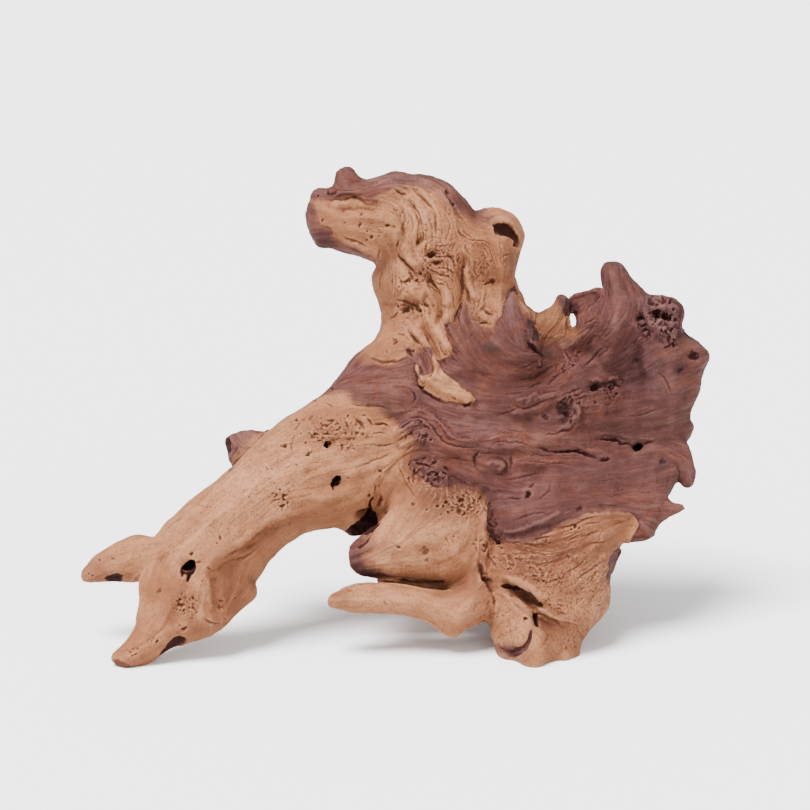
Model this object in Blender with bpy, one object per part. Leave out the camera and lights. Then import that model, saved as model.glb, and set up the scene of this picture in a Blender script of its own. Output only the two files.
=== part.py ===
"""A weathered mopani root, one grown piece of wood, modelled as nodes split at its main forks.

It stands on three worn feet: the tip of the long left root, the right foot and a root at the back. Its limbs
are laid out as seen from the front: millimetres across and up in the picture plane, and depth behind the
front feet. Each limb is lofted through stations, all limbs are fused and worked over, and thin saw cuts
part the wood at the forks.
"""

import math

import bmesh
import bpy
import numpy as np
from mathutils import Vector, noise

MM = 0.001

# The front view that the stations are read in
VIEW_TILT = math.radians(14.0)
EYE_DISTANCE = 1200.0
AXIS_ACROSS = 5.0
AXIS_UP = 131.5
# Where the middle of the whole piece lies in front-view millimetres, so that the origin is under it
MIDDLE_ACROSS = 0.9
MIDDLE_BACK = 72.7

RING_SIDES = 20
STEPS_BETWEEN = 4
ROUNDNESS = 0.9

FUSE_VOXEL = 1.5 * MM
CUT_VOXEL = 1.3 * MM
BLEND_PASSES = 4
SMOOTH_PASSES = 2
SWELL = 0.35 * MM

TRIANGLES = 6600
SAW_CUT = 0.36 * MM

# Flutes and lumps that the weather left where the front view does not reach, and faintly in front
FLUTE_SPACING = 13.0
FLUTE_STRETCH = 5.0
FLUTE_DEPTH = 3.2
FINE_FLUTES = 2.1
LIMB_SHIFT = 7.3
AXIS_STEPS = 8
# How fast a limb's flutes fade past its own radius, and the share below which they are left out
FLUTE_FADE = 5.0
FLUTE_REACH = 0.9
FLUTE_LEAST = 0.03
FRONT_SHARE = 0.22
LUMP_SPACING = 34.0
LUMP_HEIGHT = 3.0
LEDGE_SHARPNESS = 1.6
# How squarely a place must face the viewer, or away, to take the relief of that side: none below, all above
FRONT_FACING = (0.05, 0.45)
BACK_FACING = (0.0, 0.5)
HIDDEN_FACING = (0.2, 0.7)

# The ground that the feet are worn down to: half its width, and its thickness
GROUND_REACH = 0.4
GROUND_THICKNESS = 0.1

SAPWOOD = (0.50, 0.28, 0.15, 1.0)
HEARTWOOD = (0.20, 0.075, 0.055, 1.0)
WOOD_ROUGHNESS = 0.8

# A station is (one edge across, up), (the other edge across, up), depth of the middle, half thickness.
LIMBS = {
    "trunk": [
        ((-36, 133), (-28, 76), 42, 15),
        ((-22, 151), (-14, 76), 46, 25),
        ((5, 166), (0, 70), 50, 33),
        ((35, 168), (32, 50), 55, 38),
        ((62, 160), (60, 42), 57, 38),
        ((86, 156), (88, 45), 60, 31),
        ((110, 158), (108, 62), 64, 20),
        ((122, 150), (122, 76), 64, 12),
    ],
    "neck": [
        ((-24, 112), (60, 108), 56, 26),
        ((-34, 133), (60, 130), 54, 30),
        ((-23, 153), (60, 150), 52, 32),
        ((-8, 166), (64, 168), 52, 29),
        ((-6.5, 178), (65, 180), 51, 26),
        ((-10, 189), (61, 190), 49, 24),
        ((-11.5, 196), (59, 196), 48, 24),
        ((-8, 205), (58, 206), 46, 25),
        ((-3, 215), (52, 216), 45, 26),
        ((0, 225), (42, 224), 44, 25),
        ((1, 235), (36, 234), 43, 21),
        ((0, 243), (27.5, 242), 42, 14),
        ((3, 246.5), (18, 245.5), 42, 7),
    ],
    "snout": [
        ((12, 246), (12, 200), 43, 21),
        ((-1, 247.5), (-5, 202), 40, 20),
        ((-12, 244.8), (-13, 205), 38, 18),
        ((-22, 243), (-23, 208), 36, 16),
        ((-32, 240.5), (-33, 211), 34, 14),
        ((-40, 239), (-38.5, 211), 33, 11.5),
        ((-44, 231), (-43.5, 219), 33, 6),
    ],
    "snout_horn": [
        ((-33, 236), (-14, 237), 36, 10),
        ((-29.5, 241.5), (-16.5, 243), 36, 7.5),
        ((-30.5, 246), (-20, 246.8), 36, 6),
        ((-28.5, 249.5), (-22, 249.8), 36, 3.5),
    ],
    "right_lobe": [
        ((34, 196), (60, 199), 50, 22),
        ((35, 208), (62.5, 209), 48, 21),
        ((36, 217), (64.5, 216), 47, 19),
        ((39, 224), (59.5, 225), 46, 14),
        ((43, 229.5), (54, 229.5), 46, 7),
    ],
    "front_fin": [
        ((30, 112), (66, 116), 64, 10),
        ((36, 130), (68, 132), 52, 12),
        ((40, 146), (71, 147), 39, 12),
        ((46, 162), (73, 163), 31, 9),
        ((51, 170), (71, 171), 29, 6),
        ((54, 177), (66.5, 178), 28, 4.5),
        ((55.5, 183), (62, 184), 27, 3.2),
        ((57.5, 188), (60, 188), 27, 1.8),
    ],
    "saddle": [
        ((52, 176), (52, 150), 58, 16),
        ((62, 184), (64, 150), 61, 10),
        ((70, 177.5), (74, 150), 62, 8),
        ((82, 172), (84, 148), 63, 9),
        ((97, 172), (98, 148), 64, 10),
    ],
    "back_fin": [
        ((64, 160), (93, 160), 62, 8),
        ((68, 170), (89.5, 169), 62, 6),
        ((72, 177.5), (88.5, 174), 61, 4.8),
        ((78, 181.5), (87, 179.5), 60, 3.8),
        ((81, 186.5), (86, 186), 60, 2.4),
    ],
    "ridge_fin": [
        ((94, 160), (110, 162), 66, 8),
        ((91, 169), (108, 170), 66, 7),
        ((90, 176), (108, 178), 66, 6),
        ((86, 182), (107, 184), 66, 4.5),
        ((86.5, 187), (105, 189.5), 66, 2.8),
    ],
    "horn": [
        ((98, 128), (122, 130), 72, 10),
        ((97, 150), (127, 152), 62, 14),
        ((98, 168), (129, 172), 54, 15),
        ((102, 180), (128, 184), 52, 12),
        ((104.5, 188), (121.5, 191), 50, 9.5),
        ((103.5, 195), (117, 196.5), 48, 8),
        ((103, 200), (113.5, 201.5), 47, 6),
        ((105.5, 203.5), (110.5, 203.5), 47, 3),
    ],
    "dish": [
        ((98, 181), (130, 183), 54, 10),
        ((90, 170), (139, 171), 57, 15),
        ((86, 150), (147, 150), 66, 16),
        ((85, 125), (144, 125), 66, 18),
        ((85, 102), (139, 102), 59, 18),
        ((85, 82), (133, 82), 49, 20),
        ((85, 67), (124, 67), 42, 16),
    ],
    "dish_rim": [
        ((118, 186), (135, 185.5), 50, 12),
        ((120, 180), (143, 179), 47, 14),
        ((118, 172), (141.5, 170.5), 48, 14),
        ((120, 165), (147, 164.5), 48, 13),
        ((124, 158.5), (157.5, 157), 46, 12),
        ((124, 149), (153, 149), 49, 13),
        ((123, 139), (152, 138.5), 52, 14),
        ((121, 127), (147, 127), 54, 14),
        ((120, 121), (149.5, 121), 54, 14),
        ((117, 112), (146, 112), 52, 13),
        ((114, 103), (147, 103), 49, 13),
        ((112, 95), (141, 95), 45, 13),
        ((110, 87), (137, 87), 40, 13),
        ((108, 79), (134.5, 79), 37, 12),
        ((107, 71), (132, 70.5), 34, 10),
        ((110, 64), (128, 64), 32, 7),
    ],
    "rim_knot": [
        ((125, 185.5), (139, 185), 46, 8),
        ((126, 180), (143.5, 179.5), 42, 11),
        ((127, 172), (142, 171), 40, 11),
        ((130, 166), (142, 164), 39, 8),
    ],
    "down_spike": [
        ((136, 112), (147, 112), 45, 6),
        ((139, 103), (149.5, 103), 44, 5),
        ((141.5, 96), (150.5, 96), 43, 4),
        ((144.5, 89.5), (149, 90.5), 43, 2.2),
    ],
    "side_spike": [
        ((122, 84), (122, 66), 34, 7),
        ((131, 82.5), (131, 71.5), 34, 5),
        ((138, 83), (138, 75.5), 34, 3.6),
        ((146, 82), (145.5, 79), 34, 1.8),
    ],
    "left_root": [
        ((0, 148), (0, 84), 47, 27),
        ((-20, 151), (-18, 67), 42, 27),
        ((-40, 133.5), (-30, 70), 38, 23),
        ((-60, 120), (-46, 67), 34, 20),
        ((-80, 100.5), (-60, 58), 28, 18),
        ((-94, 89), (-70, 44.5), 22, 17),
        ((-109, 77.5), (-75, 33), 17, 16),
        ((-120, 66), (-85, 21), 13, 14),
        ((-127.5, 50), (-98, 15), 11, 11),
        ((-128, 38), (-108, 13), 10, 9),
    ],
    "root_heel": [
        ((-80, 52), (-86, 34), 15, 9),
        ((-71, 42), (-78, 30), 15, 6),
        ((-69.5, 37), (-72.5, 33.5), 15, 2.5),
    ],
    "front_prong": [
        ((-127, 50), (-88, 22), 12, 12),
        ((-128, 32), (-102, 14.5), 10, 10.5),
        ((-130, 20), (-113, 9), 8, 9),
        ((-136, 11.5), (-123, 3), 6, 7.5),
        ((-142.5, 5.5), (-132, -2), 4, 6),
    ],
    "back_prong": [
        ((-108, 70), (-110, 44), 18, 12),
        ((-119, 66), (-122, 44), 21, 10.5),
        ((-130, 66.5), (-131, 44), 26, 9.5),
        ((-141, 61.5), (-142, 43.5), 30, 8),
        ((-151, 55.5), (-150.5, 43), 33, 6),
        ((-158, 47.5), (-156, 43.5), 35, 2.8),
    ],
    "stub": [
        ((-52, 120), (-56, 98), 46, 10),
        ((-66, 118.5), (-70, 98), 51, 9),
        ((-76, 119.5), (-80, 99), 55, 8),
        ((-82.5, 117), (-83, 107), 57, 5.5),
        ((-84.5, 113), (-84.5, 110), 58, 2.5),
    ],
    "spur": [
        ((50, 104), (44, 28), 40, 24),
        ((26, 104), (26, 37), 34, 21),
        ((9, 94), (11, 44), 28, 16),
        ((-4, 76), (-3, 45), 24, 12),
        ((-14, 67.5), (-14, 46.2), 23, 10),
        ((-23, 61), (-22.5, 50), 22, 6),
    ],
    "armpit_web": [
        ((-30, 84), (-28, 71), 45, 8),
        ((-18, 86), (-16, 68.5), 45, 10),
        ((-6, 86), (-4, 65), 43, 11),
        ((8, 84), (10, 60), 43, 11),
    ],
    "spur_back": [
        ((44, 74), (44, 30), 50, 16),
        ((24, 66), (26, 32), 46, 14),
        ((8, 60), (10, 34), 42, 11),
        ((-4, 54), (-2, 36), 38, 8),
        ((-9, 50), (-8, 40), 36, 4),
    ],
    "spur_prong": [
        ((46, 54), (48, 24), 27, 14),
        ((36, 41), (37, 21.5), 21, 12),
        ((27, 38.5), (28.5, 16), 18, 11),
        ((16, 39), (17, 23.5), 16, 10),
        ((5, 40.5), (5, 26.8), 15, 9),
        ((-8, 42), (-8, 27.5), 14, 8),
        ((-20, 41), (-20, 28), 13, 7),
        ((-28, 37.8), (-28, 29.5), 13, 5.5),
        ((-34, 35), (-33, 31), 13, 2.8),
    ],
    "foot": [
        ((30, 122), (124, 112), 60, 20),
        ((36, 100), (126, 94), 50, 27),
        ((42, 77), (122, 75), 38, 26),
        ((44, 59), (112, 62), 34, 26),
        ((46, 42), (108, 45), 30, 25),
        ((45.5, 28), (107, 30), 28, 23),
        ((48, 18), (96, 19), 27, 21),
        ((51, 11), (91.5, 11), 23, 17),
        ((51, 5), (93.5, 4.5), 22, 14),
        ((52, -4), (94, -4), 20, 13),
    ],
    "foot_toe": [
        ((58, 26), (80, 26), 18, 13),
        ((60, 12), (78, 12), 11, 10),
        ((62.5, 3), (75, 3), 8, 8),
        ((65, -2), (72, -2), 6, 6),
    ],
    "rim_splinter": [
        ((98, 64), (98, 44), 42, 8),
        ((106, 63), (106, 45), 45, 5),
        ((114, 60), (109, 50), 47, 2.6),
    ],
    "back_burl": [
        ((-10, 132), (-6, 84), 76, 12),
        ((18, 142), (20, 80), 84, 18),
        ((48, 140), (50, 74), 88, 20),
        ((78, 132), (80, 78), 84, 14),
        ((98, 122), (100, 88), 78, 8),
    ],
    "back_root": [
        ((28, 92), (84, 92), 80, 20),
        ((36, 66), (80, 68), 91, 19),
        ((44, 46), (78, 48), 101, 16),
        ((50, 32), (76, 33), 107, 13),
        ((51, 23), (75, 23), 110, 11),
    ],
    "back_stub": [
        ((2, 128), (26, 120), 88, 12),
        ((-2, 140), (16, 134), 100, 9),
        ((-4, 150), (6, 146), 109, 5.5),
        ((-4, 154), (1, 152), 112, 2.5),
    ],
}


# Holes that are cut into the wood, as stations like a limb's
HOLLOWS = {
    "armpit": [
        ((-30, 66), (-20, 64), 4, 6),
        ((-24, 71), (-12, 68.5), 14, 8),
        ((-20, 79), (-7, 71), 25, 9),
        ((-15, 84), (-7, 76), 33, 5),
    ],
    "big_hole": [
        ((-108, 54), (-98, 54), -4, 6),
        ((-107.5, 50), (-98.5, 50), 6, 9),
        ((-106, 46), (-100, 47), 9, 4),
    ],
    "oval_hole": [
        ((-33, 97), (-25, 97), 8, 8),
        ((-33, 93), (-27, 92), 20, 12),
        ((-32, 90), (-28, 89), 22, 5),
    ],
    "under_ledge": [
        ((50, 44), (56, 37), 6, 8),
        ((59, 44.5), (62, 34), 8, 9),
        ((67, 39.5), (66, 30), 8, 8),
        ((75, 31.5), (71, 27), 6, 5),
    ],
    "under_second_ledge": [
        ((67, 29), (69, 18), 4, 6),
        ((74, 26), (74, 19), 4, 6),
        ((84, 19.5), (82, 15.5), 4, 4),
    ],
    "fork_crease": [
        ((40, 57), (43, 54), 4, 10),
        ((43, 49), (47, 47), 8, 12),
        ((46, 40), (50.5, 39), 8, 12),
        ((48, 29), (51, 28), 6, 9),
        ((45, 20), (49, 19), 8, 10),
    ],
    "fin_gap": [
        ((87.4, 180.5), (88, 180.5), 62, 18),
        ((86.9, 177), (89.8, 177.6), 62, 18),
        ((86.7, 172.5), (92, 173), 62, 18),
        ((88, 168.4), (91.4, 168.4), 62, 18),
        ((89.2, 166), (90.2, 166), 62, 18),
    ],
    "fin_crack": [
        ((66, 163), (68, 161), 24, 10),
        ((69, 161.5), (71, 158.5), 30, 10),
        ((73, 158.5), (74.5, 156.5), 32, 8),
    ],
    "lobe_hollow": [
        ((47, 222), (49, 219.5), 28, 5),
        ((54, 222.5), (54, 216), 29, 6),
        ((60, 218), (57, 212.5), 31, 6),
        ((62.5, 212), (60.5, 210), 33, 4),
    ],
    "mouth": [
        ((-1, 186), (-1, 183), 22, 5),
        ((4, 184.5), (5, 178), 22, 6),
        ((12, 183), (13, 177), 22, 6),
        ((18, 182), (17, 179.5), 22, 4),
    ],
    "plate_crack": [
        ((74, 109), (76, 107), 24, 8),
        ((84, 109.2), (85, 106.8), 28, 10),
        ((95, 108.2), (95, 105.6), 34, 9),
        ((104, 106.4), (104, 103.6), 39, 8),
        ((109, 105.6), (109, 104.6), 42, 5),
    ],
    "plate_hole": [
        ((118.4, 110.8), (119.6, 107), 62, 44),
        ((121.2, 112.2), (122.6, 107.8), 62, 44),
        ((124.2, 113.4), (125, 110), 62, 44),
    ],
    "shelf_pit": [
        ((80, 138), (88, 140), 22, 6),
        ((81, 130), (92, 131), 26, 9),
        ((83, 123), (90, 123), 26, 7),
    ],
}

# Low relief of the front, as seen: height towards the viewer and half width in millimetres, and the line
FRONT_RELIEF = [
    (-2.6, 1.9, [(3, 239), (8, 234), (12, 228), (14, 222), (14, 217), (11, 211)]),
    (-2.0, 1.7, [(10, 238), (16, 232), (20, 226), (21, 218)]),
    (2.2, 2.6, [(6, 240), (12, 233), (17, 226), (18, 216), (15, 211)]),
    (-2.6, 1.8, [(5, 219), (1, 211), (4, 204), (10, 198)]),
    (2.0, 3.0, [(10, 219), (6, 210), (9, 204), (14, 202)]),
    (-2.4, 1.6, [(-30, 235), (-20, 235), (-8, 231)]),
    (1.8, 3.4, [(-36, 238), (-20, 239), (-6, 236), (4, 243), (18, 243)]),
    (2.6, 6.0, [(20, 203), (26, 199)]),
    (-3.0, 2.2, [(17, 206.5), (20, 207)]),
    (-2.6, 1.8, [(20, 202), (22, 202)]),
    (1.8, 3.0, [(2, 190), (10, 190), (18, 189)]),
    (-3.0, 1.8, [(15, 199), (19, 192), (23, 188), (24, 181), (22, 174)]),
    (-3.2, 1.7, [(34, 204), (33, 194), (34, 187), (32, 180), (30, 174)]),
    (-2.2, 1.5, [(34, 192), (36, 186), (39, 181)]),
    (2.4, 2.6, [(27, 200), (29, 190), (28, 180), (26, 174)]),
    (3.0, 6.0, [(42, 206), (52, 202)]),
    (1.8, 2.4, [(35, 209), (40, 214), (48, 214), (55, 208)]),
    (-2.0, 2.0, [(47, 194), (49, 192)]),
    (-1.8, 1.8, [(43, 180), (50, 176)]),
    (-1.6, 1.6, [(41, 173), (48, 172)]),
    (2.6, 2.2, [(14, 178), (19, 170), (23, 163), (27, 158)]),
    (-2.2, 1.5, [(13, 168), (17, 161), (20, 155)]),
    (2.0, 2.0, [(10, 170), (14, 164), (17, 158)]),
    (2.0, 4.0, [(-10, 164), (0, 166), (8, 168)]),
    (-2.4, 2.0, [(11, 143), (14, 138), (22, 135), (32, 132), (40, 131)]),
    (3.0, 4.4, [(17, 145), (26, 141), (35, 136)]),
    (1.8, 3.0, [(60, 129), (72, 133), (82, 136), (90, 138)]),
    (-2.0, 3.0, [(62, 142), (74, 146), (82, 152)]),
    (-2.2, 3.0, [(68, 125), (78, 128)]),
    (1.8, 2.4, [(72, 115), (84, 118), (92, 122), (91, 129)]),
    (-1.2, 1.3, [(99, 114.5), (112, 114), (121, 109.5), (128, 113)]),
    (1.6, 3.2, [(60, 103), (80, 101), (100, 99), (120, 97)]),
    (2.2, 3.2, [(46, 101), (54, 101)]),
    (-1.6, 2.0, [(44, 107), (55, 107), (58, 100), (52, 96), (45, 97)]),
    (-1.8, 5.0, [(26, 104), (38, 102)]),
    (4.0, 10.0, [(62, 78), (78, 80)]),
    (-1.4, 2.0, [(50, 66), (62, 66), (78, 71), (92, 79)]),
    (2.0, 2.6, [(54, 47), (66, 43), (76, 36), (88, 25)]),
    (1.6, 3.0, [(60, 56), (78, 56), (92, 62), (108, 70)]),
    (1.4, 2.4, [(66, 62), (84, 66), (100, 74)]),
    (-1.8, 2.2, [(84, 54), (95, 50), (103, 40)]),
    (-2.2, 1.8, [(54, 10), (60, 8), (66, 11), (68, 18)]),
    (1.6, 5.0, [(54, 30), (58, 16)]),
    (-1.6, 2.6, [(84, 12), (80, 4)]),
    (1.8, 5.0, [(-42, 118), (-24, 120), (-8, 118)]),
    (-1.8, 1.6, [(-22, 127), (-15, 121), (-4, 120)]),
    (-2.6, 2.0, [(-34, 111), (-32, 112)]),
    (-1.8, 3.0, [(-52, 117), (-50, 108), (-58, 100)]),
    (1.6, 3.2, [(-36, 99), (-28, 100), (-22, 96)]),
    (2.0, 3.6, [(-60, 90), (-46, 88), (-34, 84)]),
    (1.6, 3.0, [(-95, 74), (-80, 82), (-68, 92)]),
    (-2.6, 6.0, [(-84, 46), (-84, 32)]),
    (2.2, 3.4, [(-96, 26), (-90, 22), (-84, 24)]),
    (1.6, 3.0, [(-100, 38), (-94, 52), (-84, 62)]),
    (-1.8, 2.4, [(-116, 56), (-112, 46)]),
    (2.0, 4.0, [(-112, 34), (-116, 22)]),
    (1.4, 3.0, [(-2, 60), (14, 62), (30, 70)]),
    (-1.4, 3.0, [(14, 59), (18, 60)]),
    (1.6, 3.0, [(-10, 98), (-4, 86), (6, 76)]),
    (1.6, 3.4, [(30, 60), (38, 48), (38, 34)]),
    (-5.0, 11.0, [(112, 158), (116, 138)]),
    (2.0, 5.0, [(138, 150), (140, 120)]),
    (2.4, 3.6, [(108, 198), (110, 184), (110, 168), (106, 154)]),
    (-2.2, 2.6, [(101, 180), (100, 168), (96, 158)]),
    (-2.6, 2.0, [(121, 180), (124, 171), (126, 163)]),
    (1.8, 4.0, [(20, 146), (44, 150), (64, 140)]),
    (-2.0, 4.0, [(44, 128), (60, 122), (76, 121)]),
    (2.0, 3.0, [(30, 117), (46, 117), (62, 111), (80, 112)]),
    (-3.4, 2.4, [(99, 141), (101, 140)]),
    (-2.2, 3.0, [(107, 140), (109, 136)]),
    (2.0, 3.0, [(84, 158), (90, 150)]),
    (2.2, 2.4, [(128, 181), (136, 183)]),
    (-3.6, 2.6, [(131, 176), (136, 175)]),
    (2.0, 2.2, [(133, 169), (139, 165)]),
    (-2.6, 2.4, [(148, 157), (150, 156)]),
    (-1.8, 3.0, [(143, 150), (144, 146)]),
]

# Steps where a layer of wood ends: the side to the left of the line stands higher
FRONT_LEDGES = [
    (1.5, 7.0, [(2, 122), (10, 127), (18, 125), (22, 118), (26, 113), (45, 112), (56, 114)][::-1]),
    (1.3, 6.0, [(5, 108), (5, 98), (12, 92), (20, 90), (30, 90), (40, 88), (45, 82), (46, 70)][::-1]),
    (1.4, 7.0, [(-92, 51), (-76, 60), (-62, 72), (-46, 78), (-34, 80)]),
    (1.5, 6.0, [(46, 70), (52, 64), (58, 61), (66, 62), (75, 66), (86, 71), (98, 75), (119, 76)]),
    (1.3, 6.0, [(-40, 131), (-28, 134), (-16, 132), (-6, 128), (0, 122)][::-1]),
    (1.3, 5.0, [(-18, 158), (-10, 154), (0, 156), (8, 160), (14, 170)]),
]

# The same for the side away from the viewer
BACK_RELIEF = [
    (-5.0, 9.0, [(96, 150), (110, 120)]),
    (4.0, 6.0, [(130, 170), (134, 140), (130, 110)]),
    (-5.0, 7.0, [(20, 176), (26, 150), (40, 130)]),
    (4.5, 6.0, [(44, 214), (40, 180), (60, 150), (84, 136)]),
    (-4.0, 5.0, [(-4, 232), (10, 214), (12, 196)]),
    (-4.0, 6.0, [(-30, 118), (-50, 104), (-70, 84)]),
    (3.5, 5.0, [(0, 138), (-30, 128), (-56, 112)]),
    (-4.5, 6.0, [(62, 104), (86, 96), (110, 88)]),
    (3.5, 5.0, [(20, 104), (48, 88), (58, 66)]),
    (-3.5, 4.5, [(64, 74), (62, 52), (60, 34)]),
    (-3.0, 5.0, [(-100, 62), (-112, 42)]),
]

# Cuts at the forks: a line as seen from the front, and the depths that it runs between
EVERYWHERE = (-40, 190)
FORKS = [
    ([(-52, 160), (-24, 152), (10, 154), (46, 146), (70, 146), (77, 156), (77, 205)], EVERYWHERE),
    ([(-50, 152), (-39, 134), (-26, 98), (-24, 60)], EVERYWHERE),
    ([(-112, 84), (-118, 66), (-127.5, 44), (-140, 38)], EVERYWHERE),
    ([(-136, 40), (-110, 33), (-84, 12)], EVERYWHERE),
    ([(-40, 61), (-14, 67), (4, 70), (40, 66), (46, 60)], (-40, 75.5)),
    ([(38, 72), (44, 54), (49, 38), (47, 14)], (-40, 75.5)),
    ([(38, 69), (58, 62), (96, 75), (112, 77), (134, 57)], (-40, 75.5)),
    ([(77, 160), (90, 126), (96, 74.4)], EVERYWHERE),
    ([(10, 72), (58, 71), (130, 82)], (74.5, 190)),
]
# The cut that parts the two feet faces the viewer: its corners as seen, at one depth
FEET_PARTING = [(6, -60), (134, -60), (134, 83.4), (58, 71.8), (6, 72.9)]
PARTING_DEPTH = 75

# Where each node has its middle, as seen, with its depth
NODES = {
    "trunk": (40, 115, 58),
    "head_limb": (18, 205, 46),
    "left_root": (-72, 82, 33),
    "front_prong": (-122, 18, 8),
    "back_prong": (-136, 54, 27),
    "spur": (12, 48, 30),
    "crown_plate": (118, 135, 58),
    "right_foot": (78, 40, 30),
    "back_foot": (62, 46, 100),
}
HEARTWOOD_NODES = ("trunk", "crown_plate")


def seen(across, up, depth):
    """A place in the front view, in millimetres, as a point in the part's frame, in metres."""
    grow = 1.0 + depth / EYE_DISTANCE
    u = AXIS_ACROSS + (across - AXIS_ACROSS) * grow
    v = AXIS_UP + (up - AXIS_UP) * grow
    back = v * math.sin(VIEW_TILT) + depth * math.cos(VIEW_TILT)
    high = v * math.cos(VIEW_TILT) - depth * math.sin(VIEW_TILT)
    return Vector((u - MIDDLE_ACROSS, back - MIDDLE_BACK, high)) * MM


def seen_from_front(points):
    """The reverse of seen: an array of points in metres as across, up and depth in the front view."""
    u = points[:, 0] / MM + MIDDLE_ACROSS
    back = points[:, 1] / MM + MIDDLE_BACK
    high = points[:, 2] / MM
    depth = back * math.cos(VIEW_TILT) - high * math.sin(VIEW_TILT)
    v = back * math.sin(VIEW_TILT) + high * math.cos(VIEW_TILT)
    grow = 1.0 + depth / EYE_DISTANCE
    across = AXIS_ACROSS + (u - AXIS_ACROSS) / grow
    up = AXIS_UP + (v - AXIS_UP) / grow
    return np.column_stack((across, up, depth))


def through(rows, steps):
    """Rows of numbers on a Catmull-Rom curve through the given rows, steps to each span."""
    rows = np.array(rows, float)
    before = np.vstack((2 * rows[0] - rows[1], rows[:-1]))
    after = np.vstack((rows[1:], 2 * rows[-1] - rows[-2]))
    found = []
    for i in range(len(rows) - 1):
        p0, p1, p2, p3 = before[i], rows[i], rows[i + 1], after[i + 1]
        for k in range(steps):
            t = k / steps
            found.append(
                0.5
                * (
                    2 * p1
                    + (p2 - p0) * t
                    + (2 * p0 - 5 * p1 + 4 * p2 - p3) * t**2
                    + (3 * p1 - p0 - 3 * p2 + p3) * t**3
                )
            )
    found.append(rows[-1])
    return np.array(found)


def ring_of(row):
    """The ring of points of one station: its two edges as seen from the front, and its thickness in depth."""
    edge_a, edge_b = Vector(row[0:2]), Vector(row[2:4])
    depth, half_thickness = row[4], row[5]
    middle, reach = (edge_a + edge_b) / 2, (edge_a - edge_b) / 2
    points = []
    for i in range(RING_SIDES):
        turn = 2 * math.pi * i / RING_SIDES
        c, s = math.cos(turn), math.sin(turn)
        c = math.copysign(abs(c) ** ROUNDNESS, c)
        s = math.copysign(abs(s) ** ROUNDNESS, s)
        place = middle + reach * c
        points.append(seen(place.x, place.y, depth + half_thickness * s))
    return points


def loft(stations):
    """A closed mesh through a limb's stations, with a flat end at each."""
    rows = through([(*a, *b, w, t) for a, b, w, t in stations], STEPS_BETWEEN)
    shape = bmesh.new()
    rings = [[shape.verts.new(p) for p in ring_of(row)] for row in rows]
    for near, far in zip(rings, rings[1:]):
        for i in range(RING_SIDES):
            k = (i + 1) % RING_SIDES
            shape.faces.new((near[i], near[k], far[k], far[i]))
    shape.faces.new(rings[0][::-1])
    shape.faces.new(rings[-1])
    bmesh.ops.recalc_face_normals(shape, faces=shape.faces)
    return shape


def object_of(shape, name):
    mesh = bpy.data.meshes.new(name)
    shape.to_mesh(mesh)
    shape.free()
    found = bpy.data.objects.new(name, mesh)
    bpy.context.scene.collection.objects.link(found)
    return found


def apply_modifiers(thing):
    """Makes the object's mesh what its modifiers show, and drops them."""
    graph = bpy.context.evaluated_depsgraph_get()
    mesh = bpy.data.meshes.new_from_object(thing.evaluated_get(graph))
    thing.modifiers.clear()
    thing.data = mesh


def lofted_object(stations, name):
    return object_of(loft(stations), name)


def remesh(thing, voxel, passes):
    """A new even skin, with the hollows between limbs rounded."""
    skin = thing.modifiers.new("skin", "REMESH")
    skin.mode = "VOXEL"
    skin.voxel_size = voxel
    blend = thing.modifiers.new("blend", "SMOOTH")
    blend.factor = 0.5
    blend.iterations = passes
    apply_modifiers(thing)


def cut(thing, cutter):
    """Takes the cutter's shape out of the thing, and drops the cutter."""
    taken = thing.modifiers.new("cut", "BOOLEAN")
    taken.operation = "DIFFERENCE"
    taken.solver = "EXACT"
    taken.object = cutter
    apply_modifiers(thing)
    bpy.data.objects.remove(cutter)


def fuse_limbs():
    """All limbs grown together into one closed skin."""
    together = bmesh.new()
    for stations in LIMBS.values():
        shape = loft(stations)
        mesh = bpy.data.meshes.new("limb")
        shape.to_mesh(mesh)
        shape.free()
        together.from_mesh(mesh)
        bpy.data.meshes.remove(mesh)
    wood = object_of(together, "wood")
    remesh(wood, FUSE_VOXEL, BLEND_PASSES)
    for name, stations in HOLLOWS.items():
        cut(wood, lofted_object(stations, name))
    remesh(wood, CUT_VOXEL, SMOOTH_PASSES)
    return wood


def mesh_arrays(thing):
    """The points and the normals of a mesh, as arrays."""
    count = len(thing.data.vertices)
    points = np.empty(count * 3)
    normals = np.empty(count * 3)
    thing.data.vertices.foreach_get("co", points)
    thing.data.vertices.foreach_get("normal", normals)
    return points.reshape(-1, 3), normals.reshape(-1, 3)


def set_points(thing, points):
    thing.data.vertices.foreach_set("co", points.ravel())
    thing.data.update()


def smooth_step(low, high, value):
    t = np.clip((value - low) / (high - low), 0.0, 1.0)
    return t * t * (3.0 - 2.0 * t)


def line_distance(places, line):
    """How far each place is from a line in the front view, and on which side: positive to its left."""
    nearest = np.full(len(places), np.inf)
    side = np.zeros(len(places))
    for start, end in zip(line, line[1:]):
        start, span = np.array(start, float), np.subtract(end, start).astype(float)
        offset = places - start
        t = np.clip(offset @ span / (span @ span), 0.0, 1.0)
        gap = offset - t[:, None] * span
        reach = np.hypot(gap[:, 0], gap[:, 1])
        closer = reach < nearest
        cross = span[0] * offset[:, 1] - span[1] * offset[:, 0]
        side = np.where(closer, np.sign(cross), side)
        nearest = np.where(closer, reach, nearest)
    return nearest, side


def relief(places, forms):
    height = np.zeros(len(places))
    for rise, half_width, line in forms:
        reach, _ = line_distance(places, line)
        height += rise * np.exp(-((reach / half_width) ** 2))
    return height


def ledges(places, forms):
    height = np.zeros(len(places))
    for rise, fade, line in forms:
        reach, side = line_distance(places, line)
        height += rise * np.tanh(side * reach / LEDGE_SHARPNESS) * np.exp(-((reach / fade) ** 2))
    return height


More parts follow.
